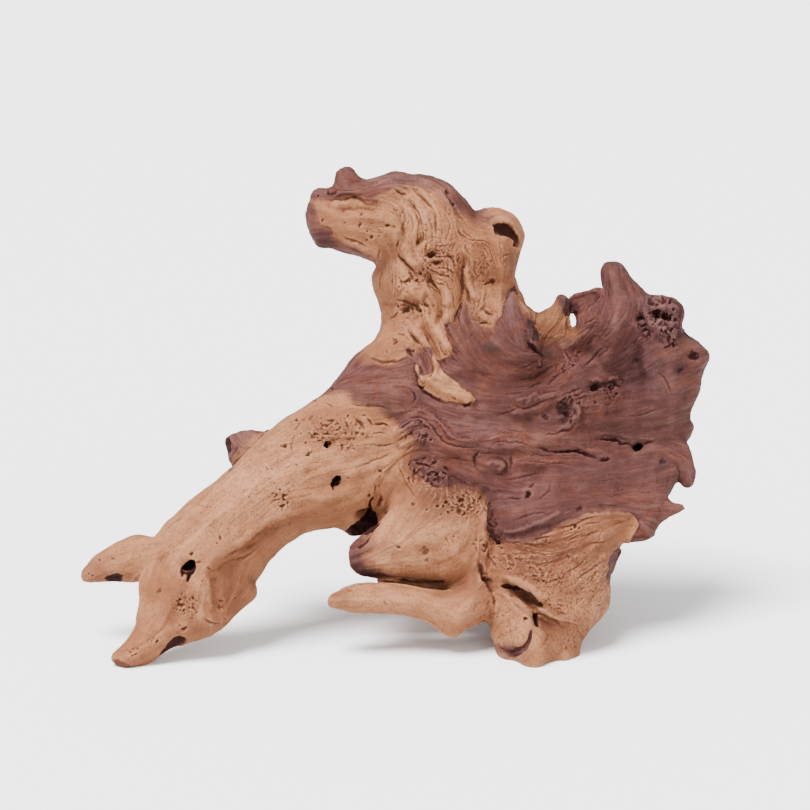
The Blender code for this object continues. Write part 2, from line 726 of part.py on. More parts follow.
def limb_axes():
    """For each limb: the middle, the two cross directions, the mean radius and the length along it."""
    axes = []
    for stations in LIMBS.values():
        rows = through([(*a, *b, w, t) for a, b, w, t in stations], AXIS_STEPS)
        middles, acrosses, radii = [], [], []
        for row in rows:
            mid = (row[0:2] + row[2:4]) / 2
            edge_a = seen(row[0], row[1], row[4])
            edge_b = seen(row[2], row[3], row[4])
            middles.append(seen(mid[0], mid[1], row[4]))
            acrosses.append((edge_a - edge_b).normalized())
            radii.append(((edge_a - edge_b).length / 2 + row[5] * MM) / 2)
        middles = np.array(middles)
        lengths = np.concatenate(([0.0], np.cumsum(np.linalg.norm(np.diff(middles, axis=0), axis=1))))
        axes.append((middles, np.array(acrosses), np.array(radii), lengths))
    return axes


def flutes(points):
    """Grooves that run along the limbs, between -1 and 1."""
    total = np.zeros(len(points))
    weights = np.full(len(points), 1e-6)
    away = np.array(seen(0, 0, 100) - seen(0, 0, 0))
    away /= np.linalg.norm(away)
    for number, (middles, acrosses, radii, lengths) in enumerate(limb_axes()):
        gaps = np.linalg.norm(points[:, None, :] - middles[None, :, :], axis=2)
        nearest = gaps.argmin(axis=1)
        share = gaps[np.arange(len(points)), nearest] / radii[nearest]
        weight = np.exp(-FLUTE_FADE * np.clip(share - FLUTE_REACH, 0.0, None))
        for i in np.nonzero(weight > FLUTE_LEAST)[0]:
            k = nearest[i]
            offset = points[i] - middles[k]
            place = Vector((
                offset @ acrosses[k] / (FLUTE_SPACING * MM),
                offset @ away / (FLUTE_SPACING * MM),
                lengths[k] / (FLUTE_SPACING * FLUTE_STRETCH * MM) + LIMB_SHIFT * number,
            ))
            value = noise.noise(place) + 0.5 * noise.noise(place * FINE_FLUTES)
            total[i] += weight[i] * value
            weights[i] += weight[i]
    return total / weights


def carve(wood):
    """Works the relief into the fused skin: the front along the sight lines, the rest along the normals."""
    points, normals = mesh_arrays(wood)
    eye = np.array(seen(AXIS_ACROSS, AXIS_UP, -EYE_DISTANCE))
    sight = eye - points
    sight /= np.linalg.norm(sight, axis=1)[:, None]
    facing = (normals * sight).sum(axis=1)
    front = smooth_step(*FRONT_FACING, facing)
    back = smooth_step(*BACK_FACING, -facing)
    places = seen_from_front(points)[:, :2]
    towards = relief(places, FRONT_RELIEF) + ledges(places, FRONT_LEDGES)
    lumps = np.array([noise.noise(Vector(p) / (LUMP_SPACING * MM)) for p in points])
    weather = FLUTE_DEPTH * flutes(points) + LUMP_HEIGHT * lumps
    hidden = FRONT_SHARE + (1.0 - FRONT_SHARE) * smooth_step(*HIDDEN_FACING, -facing)
    out = relief(places, BACK_RELIEF) * back + weather * hidden + SWELL / MM
    moved = points + (towards * front)[:, None] * sight * MM + out[:, None] * normals * MM
    set_points(wood, moved)
    blend = wood.modifiers.new("blend", "SMOOTH")
    blend.factor = 0.5
    blend.iterations = 1
    apply_modifiers(wood)


def thin_out(wood):
    thin = wood.modifiers.new("thin", "DECIMATE")
    wood.data.calc_loop_triangles()
    thin.ratio = TRIANGLES / len(wood.data.loop_triangles)
    apply_modifiers(wood)


def box_object(low, high, name):
    shape = bmesh.new()
    bmesh.ops.create_cube(shape, size=1.0)
    size = Vector(high) - Vector(low)
    bmesh.ops.scale(shape, verts=shape.verts, vec=size)
    bmesh.ops.translate(shape, verts=shape.verts, vec=(Vector(high) + Vector(low)) / 2)
    return object_of(shape, name)


def stand_flat(wood):
    """Wears the feet flat where they meet the ground, at z = 0."""
    low = (-GROUND_REACH, -GROUND_REACH, -GROUND_THICKNESS)
    high = (GROUND_REACH, GROUND_REACH, 0.0)
    cut(wood, box_object(low, high, "ground"))


def wall_object(line, depths, name):
    """A thin wall that follows a line of the front view and runs back between two depths."""
    half = SAW_CUT / MM / 2
    line = [Vector(p) for p in line]
    left, right = [], []
    for i, place in enumerate(line):
        before = line[max(i - 1, 0)]
        after = line[min(i + 1, len(line) - 1)]
        way = (after - before).normalized()
        normal = Vector((-way.y, way.x))
        left.append(place + normal * half)
        right.append(place - normal * half)
    shape = bmesh.new()
    rows = [[shape.verts.new(seen(p.x, p.y, depth)) for p in side] for side in (left, right) for depth in depths]
    near_left, far_left, near_right, far_right = rows
    for i in range(len(line) - 1):
        for a, b in ((near_left, far_left), (far_left, far_right), (far_right, near_right), (near_right, near_left)):
            shape.faces.new((a[i], a[i + 1], b[i + 1], b[i]))
    for i in (0, -1):
        shape.faces.new((near_left[i], far_left[i], far_right[i], near_right[i]))
    bmesh.ops.recalc_face_normals(shape, faces=shape.faces)
    bmesh.ops.triangulate(shape, faces=shape.faces)
    return object_of(shape, name)


def parting_object():
    """The thin wall between the right foot and the back foot."""
    shape = bmesh.new()
    half = SAW_CUT / MM / 2
    rims = []
    for depth in (PARTING_DEPTH - half, PARTING_DEPTH + half):
        rims.append([shape.verts.new(seen(u, v, depth)) for u, v in FEET_PARTING])
    for i in range(len(FEET_PARTING)):
        k = (i + 1) % len(FEET_PARTING)
        shape.faces.new((rims[0][i], rims[0][k], rims[1][k], rims[1][i]))
    shape.faces.new(rims[0])
    shape.faces.new(rims[1][::-1])
    bmesh.ops.recalc_face_normals(shape, faces=shape.faces)
    return object_of(shape, "parting")


def loose_parts(thing):
    """The unconnected bodies of a mesh, as new meshes with their volumes and middles."""
    shape = bmesh.new()
    shape.from_mesh(thing.data)
    group = {}
    count = 0
    for seed in shape.verts:
        if seed in group:
            continue
        stack = [seed]
        group[seed] = count
        while stack:
            for edge in stack.pop().link_edges:
                for vert in edge.verts:
                    if vert not in group:
                        group[vert] = count
                        stack.append(vert)
        count += 1
    numbers = [group[v] for v in shape.verts]
    parts = []
    for number in range(count):
        part = shape.copy()
        others = [v for v, n in zip(part.verts, numbers) if n != number]
        bmesh.ops.delete(part, geom=others, context="VERTS")
        middle = sum((v.co for v in part.verts), Vector()) / len(part.verts)
        parts.append((part, abs(part.calc_volume()), middle))
    shape.free()
    return parts


def part_at_forks(wood):
    """Cuts the wood at its forks and gives each body its name."""
    cut(wood, parting_object())
    for number, (line, depths) in enumerate(FORKS):
        cut(wood, wall_object(line, depths, f"fork_{number}"))
    seeds = {name: seen(*place) for name, place in NODES.items()}
    best = {}
    for part, volume, middle in loose_parts(wood):
        name = min(seeds, key=lambda n: (seeds[n] - middle).length)
        if volume > best.get(name, (None, 0.0))[1]:
            best[name] = (part, volume)
    bpy.data.objects.remove(wood)
    for name, (part, _) in best.items():
        node = object_of(part, name)
        node.data.materials.append(wood_material(name in HEARTWOOD_NODES))


def wood_material(heartwood):
    """Bare dry wood: reddish heartwood or tan sapwood."""
    name = "heartwood" if heartwood else "sapwood"
    found = bpy.data.materials.get(name)
    if found:
        return found
    found = bpy.data.materials.new(name)
    found.use_nodes = True
    shader = found.node_tree.nodes["Principled BSDF"]
    shader.inputs["Base Color"].default_value = HEARTWOOD if heartwood else SAPWOOD
    shader.inputs["Roughness"].default_value = WOOD_ROUGHNESS
    shader.inputs["Metallic"].default_value = 0.0
    return found


def clear_scene():
    for thing in list(bpy.data.objects):
        bpy.data.objects.remove(thing)


def main():
    clear_scene()
    wood = fuse_limbs()
    carve(wood)
    thin_out(wood)
    stand_flat(wood)
    part_at_forks(wood)


main()
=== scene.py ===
"""The fine surface of a weathered mopani root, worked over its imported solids.

The nine nodes are grown together into one fine skin. Cracks, pits, ledges and worn grain are carved into it,
its colours are laid on as attributes, and it is parted again at the forks into one piece for each node.
What shows from the front is laid out in front-view millimetres, across and up in the picture plane.
"""

import math

import bmesh
import bpy
import numpy as np
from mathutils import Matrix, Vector
from mathutils.bvhtree import BVHTree
from mathutils.kdtree import KDTree


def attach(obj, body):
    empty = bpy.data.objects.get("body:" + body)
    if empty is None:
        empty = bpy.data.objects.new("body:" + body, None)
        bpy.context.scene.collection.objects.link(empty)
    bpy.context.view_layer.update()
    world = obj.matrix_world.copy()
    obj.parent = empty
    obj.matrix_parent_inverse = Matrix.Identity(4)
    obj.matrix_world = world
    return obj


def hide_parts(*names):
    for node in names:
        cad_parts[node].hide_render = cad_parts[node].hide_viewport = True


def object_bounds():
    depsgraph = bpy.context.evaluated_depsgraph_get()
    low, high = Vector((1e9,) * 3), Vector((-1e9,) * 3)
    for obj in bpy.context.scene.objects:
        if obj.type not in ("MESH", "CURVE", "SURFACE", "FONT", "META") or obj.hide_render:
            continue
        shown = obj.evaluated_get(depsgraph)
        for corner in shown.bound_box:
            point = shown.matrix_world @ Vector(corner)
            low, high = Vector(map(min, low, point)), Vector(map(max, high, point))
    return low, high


bl_info = {
    "name": "Mopani root",
    "version": (1, 0, 0),
    "blender": (4, 5, 0),
    "location": "View3D > Sidebar > Root",
    "description": "Carves and colours the weathered wood of a mopani root",
    "category": "Object",
}

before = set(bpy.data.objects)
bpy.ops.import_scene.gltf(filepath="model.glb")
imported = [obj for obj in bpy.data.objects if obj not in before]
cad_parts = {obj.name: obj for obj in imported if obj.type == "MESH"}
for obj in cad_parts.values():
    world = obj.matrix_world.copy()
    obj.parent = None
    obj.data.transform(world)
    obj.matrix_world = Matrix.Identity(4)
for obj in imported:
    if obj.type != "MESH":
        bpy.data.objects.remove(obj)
CAD_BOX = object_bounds()

MM = 0.001

# The view: its tilt, the eye, the point that it looks at, and what it takes in, in millimetres
VIEW_TILT = math.radians(14.0)
EYE_DISTANCE = 1200.0
AXIS_ACROSS = 5.0
AXIS_UP = 131.5
FRAME_WIDTH = 405.0
SENSOR = 36.0

# The part's middle in front-view millimetres, before it was set over its origin
MIDDLE_ACROSS = 0.9
MIDDLE_BACK = 72.7

# The floor's size in metres, and each lamp's place and spread in degrees
FLOOR_SIZE = 40.0
LAMPS = {"key": ((-0.5, -0.42, 1.3), 30), "fill": ((0.8, -1.0, 0.6), 60)}

# How far a piece's open edges are turned in, and how close two points are one, in metres
LIP = 0.001
SAME_PLACE = 1e-6

# How often the facets are worn off again once the skin has its fine cells, and once its front is divided
SECOND_FAIRING = 5
LAST_FAIRING = 2

# The wood of the nodes that aren't sapwood
TRUE_WOOD = {"trunk": "heartwood", "crown_plate": "heartwood"}

# What is laid on the wood point by point for its colours
MASKS = (
    "heart", "deep", "purple", "rust", "ash", "pale", "dusk", "char", "cleft", "hollow", "grain", "thread",
    "stain", "tone", "gritty",
)

# Cracks and clefts of the head: depth and half width in millimetres, then the line
HEAD_CRACKS = [
    (1.6, 0.7, [(0, 240), (3, 238), (6, 236.5)]),
    (1.5, 0.6, [(7, 234), (10, 230.5), (12.5, 227), (14, 223)]),
    (1.1, 0.5, [(14, 223), (14.2, 218.5), (12.8, 214), (10.5, 209.5)]),
    (1.5, 0.6, [(10.5, 238.5), (14, 235), (17, 231), (19, 228.5)]),
    (1.0, 0.5, [(19, 228.5), (20.5, 224), (20.5, 219), (19.5, 214)]),
    (1.1, 0.5, [(3, 215), (1, 212), (0.3, 209.5)]),
    (1.8, 0.7, [(0.3, 209), (2, 206), (4.5, 203), (7, 200.5), (9.5, 197.5)]),
    (1.2, 0.5, [(14, 217.5), (12, 214), (10, 210)]),
    (2.0, 0.8, [(15.5, 199.5), (17, 196.5), (18, 193.5), (20.5, 190.5), (23, 188)]),
    (1.4, 0.7, [(23, 188), (24, 184), (23.7, 180)]), (1.5, 0.9, [(23.7, 180), (23, 177), (22, 174)]),
    (1.4, 0.6, [(34.2, 206), (34, 200), (33.2, 194), (33.6, 189), (33, 184)]),
    (1.1, 0.5, [(33, 184), (31.5, 178), (30, 174)]),
    (1.8, 0.8, [(35, 191), (36, 187), (37.5, 184), (39, 181.5)]),
    (1.1, 0.6, [(-34, 234.5), (-29, 233.5), (-24, 234.5), (-19, 235), (-14, 232.5), (-9, 231.2)]),
    (1.4, 0.6, [(-27, 215.5), (-20, 213), (-13, 210)]), (1.5, 0.7, [(-17.8, 223.5), (-17.8, 219.5)]),
    (1.4, 0.9, [(15.5, 206.2), (18, 206.7), (21, 207.6)]), (1.3, 0.8, [(19.5, 202.2), (21.5, 201.6)]),
    (1.3, 0.6, [(43, 191), (46, 192), (49, 193.5), (51, 194)]),
    (2.2, 0.9, [(0, 183.6), (3.5, 183.2), (7, 182), (11, 181.5), (14, 182.5)]),
    (1.8, 0.7, [(14, 182.5), (16, 181), (17, 179.5)]), (1.1, 0.5, [(1, 167.7), (2.5, 166.8), (6, 166)]),
    (2.2, 0.9, [(6.5, 169.5), (8.5, 166.5), (11, 163.5), (13.5, 161.5)]),
    (1.8, 0.8, [(14, 168), (15.5, 164.5), (17.5, 161), (20, 157.5)]),
    (1.6, 0.7, [(43, 179.5), (46, 177.5), (50, 176)]), (1.4, 0.7, [(40.5, 172), (44, 172.5), (48, 172)]),
    (0.9, 0.5, [(41, 174), (45, 173.5)]), (1.1, 0.5, [(35, 214), (40, 214.5), (45, 213.5), (48.5, 211)]),
    (0.9, 0.5, [(34, 219), (38, 216), (41, 213.5)]), (0.8, 0.5, [(31, 221), (33, 217), (37, 215)]),
    (1.1, 0.6, [(36, 213), (35.5, 209), (37.5, 206.5)]), (0.8, 0.5, [(42, 214), (45, 210), (47, 206)]),
    (1.3, 0.8, [(-34, 236.5), (-30, 237.5), (-27.5, 239)]), (1.1, 0.7, [(59.5, 186.8), (62, 187.5)]),
    (0.9, 0.5, [(22, 240), (28, 232), (33, 225), (38, 219)]), (0.8, 0.5, [(24, 243), (29, 236), (33, 230)]),
    (1.2, 0.6, [(16, 205.5), (22, 206), (27, 205.5), (30, 202.5), (31, 198)]),
    (1.1, 0.5, [(18, 197), (22, 196.5), (26, 195.5), (29, 193.5)]),
    (0.9, 0.5, [(20, 199.5), (24, 199.5), (28, 198)]), (0.9, 0.5, [(19, 194), (23, 192.5), (27, 190.5)]),
    (0.8, 0.5, [(-6, 200), (-8, 193), (-7, 186)]), (0.8, 0.5, [(-1, 199), (-1.5, 192), (0, 187)]),
    (0.7, 0.5, [(28, 190), (29.5, 183), (28, 177)]), (0.9, 0.5, [(2, 178), (-1, 176), (-4, 174)]),
    (0.8, 0.5, [(-8, 209), (-8.5, 204)]), (0.8, 0.5, [(6, 226), (4, 221), (4, 215)]),
    (0.7, 0.5, [(1, 232), (5, 227), (6.5, 220)]), (0.7, 0.5, [(26, 226), (27, 219), (25, 213)]),
    (0.7, 0.5, [(52, 204), (55, 206), (58, 207)]), (0.7, 0.5, [(39, 205), (40, 199), (42, 194)]),
    (0.7, 0.5, [(30, 212), (24, 211), (17, 211.5)]),
]

# The other cracks, given in the same way
CRACKS = [
    # The shoulder
    (1.7, 0.8, [(11.5, 141.5), (14, 138.5), (18, 136.3), (22, 134.3), (26, 132.8)]),
    (1.8, 0.8, [(33, 131.7), (36, 131.2), (39, 133.5)]),
    (1.2, 0.6, [(-16, 157), (-8, 153.5), (0, 153.5), (6, 155.5)]), (0.8, 0.5, [(28, 135.3), (31, 134)]),
    (1.4, 0.7, [(17.8, 157), (18.8, 152), (19, 147.5), (16.5, 145.6), (14, 145.6)]),
    (1.0, 0.6, [(-24, 132), (-10, 131.5), (-2, 128.5)]), (0.9, 0.5, [(-35, 132.5), (-31, 130.5)]),
    (1.0, 0.6, [(8, 140), (10, 136), (9, 132)]),
    # The left root
    (1.2, 0.6, [(-58, 110.6), (-55, 111)]), (1.4, 0.6, [(-38, 122), (-33, 121.5)]),
    (1.4, 0.6, [(-34, 124.6), (-30, 124)]),
    (2.2, 0.8, [(-20, 125.5), (-18, 123.5), (-16, 121.5), (-15, 119.5)]),
    (1.6, 0.6, [(-25, 124), (-24, 121), (-23, 119.5)]),
    (1.6, 0.6, [(-14, 124.8), (-12, 122.5), (-10, 121.5)]),
    (1.7, 0.7, [(-11, 122), (-8, 122), (-5, 121.5), (-2, 120)]), (1.2, 0.6, [(-26, 118), (-24, 116.5)]),
    (1.2, 0.6, [(-21, 117.5), (-18, 118)]), (1.4, 0.6, [(-27, 113), (-26, 110.5), (-27, 108.5)]),
    (1.3, 0.6, [(-43, 115), (-39, 115.3)]), (1.4, 0.7, [(-43.5, 108), (-42.5, 105.5)]),
    (1.2, 0.6, [(-30, 119), (-27, 120.5)]), (1.0, 0.5, [(-37, 118.5), (-33, 117), (-30, 117)]),
    (1.0, 0.5, [(-17, 126.5), (-14, 126)]), (1.0, 0.5, [(-12, 117), (-8, 118), (-4, 117)]),
    (1.0, 0.5, [(-24.5, 95), (-22, 94.5)]), (1.3, 0.6, [(-10, 91.5), (-10, 87)]),
    (2.4, 0.9, [(-7.5, 86), (-7.3, 83.5), (-8, 81), (-9.5, 80)]),
    (1.5, 0.7, [(1, 119), (5, 121), (10, 124.5)]), (1.1, 0.6, [(1, 113), (5, 116), (9, 119)]),
    (0.9, 0.6, [(2, 112.5), (-6, 111), (-14, 112)]), (0.7, 0.6, [(-22, 99), (-10, 104), (0, 108)]),
    (0.7, 0.6, [(1, 105), (3, 98), (5, 93), (9, 87), (12, 83)]), (1.5, 0.6, [(-58.2, 90), (-56.8, 88.5)]),
    (1.0, 0.5, [(-99, 52), (-97, 54)]), (1.1, 0.6, [(-96.5, 26), (-93.5, 23.5), (-91, 22.3), (-87, 21.8)]),
    (1.5, 0.9, [(-85, 23.5), (-83.3, 24.6)]), (0.9, 0.7, [(-133, 9), (-132.5, 6.5)]),
    (0.9, 0.7, [(-129.5, 10.5), (-128, 9)]), (0.8, 0.6, [(-117, 68), (-113, 71), (-108, 75), (-104, 76.5)]),
    (0.6, 0.6, [(-105, 78), (-99, 81.5), (-92, 80.5)]), (0.6, 0.6, [(-66, 62), (-76, 55), (-84, 53)]),
    (0.9, 0.6, [(-50, 119), (-47, 123)]), (0.6, 0.6, [(-49, 117), (-52, 112), (-51, 106)]),
    (0.7, 0.6, [(-80, 107), (-78, 112)]), (0.7, 0.6, [(-67, 118.3), (-63, 118)]),
    # The middle
    (0.9, 0.5, [(0, 61), (4, 59.5)]), (1.4, 0.6, [(10.5, 101), (10, 97.5), (12, 95.5)]),
    (1.2, 0.6, [(12, 102), (15, 101), (18, 100)]), (1.2, 0.6, [(16, 96), (19, 98), (22, 97)]),
    (1.6, 0.8, [(19, 99.5), (21.5, 95), (21.5, 91)]), (1.2, 0.6, [(24, 98), (26, 96.5)]),
    (1.5, 0.7, [(17, 93), (20, 90.5), (24, 90)]), (1.0, 0.6, [(8.5, 104), (12, 103.5)]),
    (1.0, 0.5, [(24, 101), (27, 99)]),
    (1.2, 0.6, [(2.5, 121), (8, 125), (13, 125), (18, 121.5), (22, 116.5), (27, 112), (35, 110.4),
                (47, 109.8)]),
    (0.9, 0.6, [(47, 110), (50.5, 112.6), (57, 112.8), (63, 112.6), (69, 110.4)]),
    (1.2, 0.8, [(42.5, 109), (39.8, 105), (40.5, 99)]), (0.9, 0.7, [(58.5, 107), (57.5, 99)]),
    (0.8, 0.9, [(44, 103), (48, 105.5), (54, 104.5), (56, 100), (52, 97), (46, 98)]),
    (2.0, 1.0, [(64.5, 85), (66.5, 87.5), (68, 89)]),
    (1.2, 0.6, [(55, 84.5), (58, 85.5), (62, 85), (65, 86.5)]), (0.9, 0.6, [(66, 90), (70, 93)]),
    (3.2, 1.5, [(41.5, 53.5), (43, 50), (44.5, 46.5), (46.5, 43.5), (48, 40)]),
    (1.4, 0.6, [(48.5, 38), (49.3, 34), (50, 29.5)]),
    (1.5, 0.6, [(43.8, 64), (46.3, 62.5), (45.8, 58.5), (44, 58.8), (43.3, 61.5)]),
    (1.2, 0.6, [(46, 57), (48, 54), (50, 51.5), (52, 49.7)]),
    (1.3, 0.6, [(45.5, 76), (47.5, 72), (50, 70)]), (1.0, 0.5, [(44, 80), (46, 77)]),
    (0.9, 0.5, [(40, 61), (41, 57)]), (0.8, 0.5, [(25, 66), (27, 62)]), (0.8, 0.5, [(-25, 40), (-21, 38)]),
    (0.8, 0.5, [(-19, 42.3), (-16.5, 42)]), (0.7, 0.5, [(-6, 34), (-4, 31)]),
    # The red body
    (0.8, 0.8, [(74, 140), (79, 144), (83, 149)]),
    (1.0, 0.8, [(57, 133.4), (64, 129.8), (69, 130.4), (74, 133.6), (80, 135.4)]),
    (0.6, 0.8, [(50, 126), (58, 128), (64, 131)]), (0.7, 0.7, [(64, 139), (70, 141.5), (76, 144)]),
    (0.7, 0.7, [(66, 143), (74, 148), (80, 153)]), (0.6, 0.6, [(60, 148), (68, 151), (75, 156)]),
    (0.6, 0.6, [(52, 137), (60, 137), (68, 138)]), (0.6, 0.6, [(70, 137), (78, 138), (84, 139.5)]),
    (1.1, 0.8, [(72, 115.3), (78, 117), (84, 118.5), (88, 119.5), (90, 122), (90.5, 126)]),
    (1.3, 0.8, [(71, 110), (74, 109.3), (77, 108), (78, 106.8)]),
    (2.4, 0.6, [(75, 107.8), (80, 108.4), (85, 108.7), (90, 108.6), (95, 107.5), (100, 105.7),
                (104, 105.2)]),
    (2.6, 0.9, [(101.5, 105.4), (105, 104.8), (109, 105.3)]),
    (2.0, 0.55, [(100, 114.5), (105, 114), (111, 114), (113, 112.8), (117, 112), (120, 110.3)]),
    (2.1, 1.2, [(119, 110.3), (121.5, 109.8), (123, 110.8)]),
    (0.8, 0.6, [(124, 111), (126, 112.5), (130, 113.5)]),
    (1.1, 0.8, [(87.5, 137), (88.5, 133), (87.5, 129)]), (1.1, 0.8, [(88, 131), (90, 128), (90.5, 125)]),
    (1.0, 0.6, [(89.5, 132), (92.5, 131.5)]), (1.0, 0.7, [(85, 137), (90, 139), (95, 140)]),
    (1.0, 0.6, [(83, 133), (86, 131), (86.5, 127)]), (0.8, 0.6, [(91, 134), (95, 136)]),
    (1.0, 0.7, [(106, 142.5), (109, 143), (112, 141), (113, 138)]),
    (0.8, 0.6, [(106, 137), (108, 134), (110, 133.5)]), (1.0, 0.6, [(85, 158.5), (87, 155), (89, 153)]),
    (1.0, 0.6, [(85.5, 153), (84, 150), (86, 147)]), (0.8, 0.5, [(90, 157), (93, 158)]),
    (0.8, 0.5, [(81, 152), (80, 148)]), (0.8, 0.5, [(88, 150), (91, 151.5)]),
    (1.0, 0.6, [(94, 150), (99, 155), (103, 160)]), (0.6, 0.6, [(92, 163), (98, 170), (103, 178)]),
    (0.6, 0.6, [(88, 165), (94, 168), (100, 173)]), (0.6, 0.6, [(100, 163), (106, 170), (110, 180)]),
    (0.6, 0.6, [(92, 172), (97, 173.5), (101, 176)]), (1.1, 1.0, [(90, 78), (92, 79.5), (94, 81)]),
    (0.6, 0.6, [(100, 81), (108, 81.6), (114, 80.5)]), (1.1, 0.7, [(121.5, 179), (123, 175), (124, 171.5)]),
    (1.1, 0.7, [(123.5, 171), (125.5, 168), (126.5, 165)]),
    (1.3, 0.8, [(128, 184), (132, 184), (135, 181)]), (1.3, 0.8, [(131, 170.5), (135, 172), (138, 171)]),
    (1.0, 0.6, [(133, 166), (136, 164), (138, 160.5)]), (0.6, 0.6, [(130, 148), (136, 143), (139, 136)]),
    (0.6, 0.6, [(112, 126), (124, 127), (134, 130)]), (0.7, 0.6, [(62, 104), (76, 102.5), (92, 102)]),
    (0.6, 0.6, [(52, 94), (62, 95), (74, 98)]), (0.6, 0.6, [(70, 84), (76, 88), (78, 94)]),
    (0.6, 0.6, [(58, 74), (70, 77), (80, 78)]),
    # The right foot
    (1.1, 0.9, [(50, 64), (52.5, 62), (54, 60.5)]),
    (1.1, 0.6, [(55, 61), (60, 60), (65, 58.3), (72, 57.5), (80, 57.2)]),
    (0.9, 0.5, [(62, 60.5), (67, 61.5), (73, 60.3), (80, 61)]),
    (0.9, 0.5, [(67, 61.3), (71, 64), (76, 65.5), (80, 66)]), (0.8, 0.5, [(58, 62.5), (64, 63)]),
    (1.0, 0.6, [(76, 67), (84, 70), (92, 73), (100, 75.5), (106, 76.5)]),
    (0.8, 0.5, [(93, 71), (98, 72.5), (103, 73)]),
    (1.2, 0.7, [(60, 42), (63, 40.4), (67, 37.6), (71, 35), (72, 33)]),
    (1.5, 0.9, [(71, 34.5), (73, 31.5), (75, 29.5)]), (1.0, 0.6, [(57, 37), (59.5, 35.3)]),
    (1.7, 0.9, [(66, 30), (70, 28), (75, 25.5), (80, 23), (84, 20.5)]),
    (1.0, 0.5, [(80.5, 32.5), (83, 31), (85, 29.8)]), (0.8, 0.5, [(82, 27.5), (86, 27)]),
    (0.5, 1.0, [(54, 10), (57, 8.3), (61, 8.3), (65, 10.5), (66.5, 12)]),
    (0.5, 0.7, [(57, 6.5), (62, 7), (66, 9.5)]), (0.5, 1.0, [(66, 11), (68, 15), (69, 19)]),
    (0.6, 0.8, [(72, 10), (76, 15), (78, 19)]), (0.8, 0.5, [(86.5, 12), (88, 16.5)]),
    (0.7, 0.5, [(100, 31), (103, 32)]), (0.7, 0.5, [(84, 46), (90, 50), (96, 56)]),
    (0.7, 0.5, [(88, 42), (96, 48), (104, 54)]), (0.7, 0.5, [(92, 59), (99, 62), (108, 65)]),
    (0.7, 0.5, [(70, 52), (78, 52.5), (86, 56)]), (0.7, 0.5, [(86, 64), (96, 67), (106, 69.5)]),
]

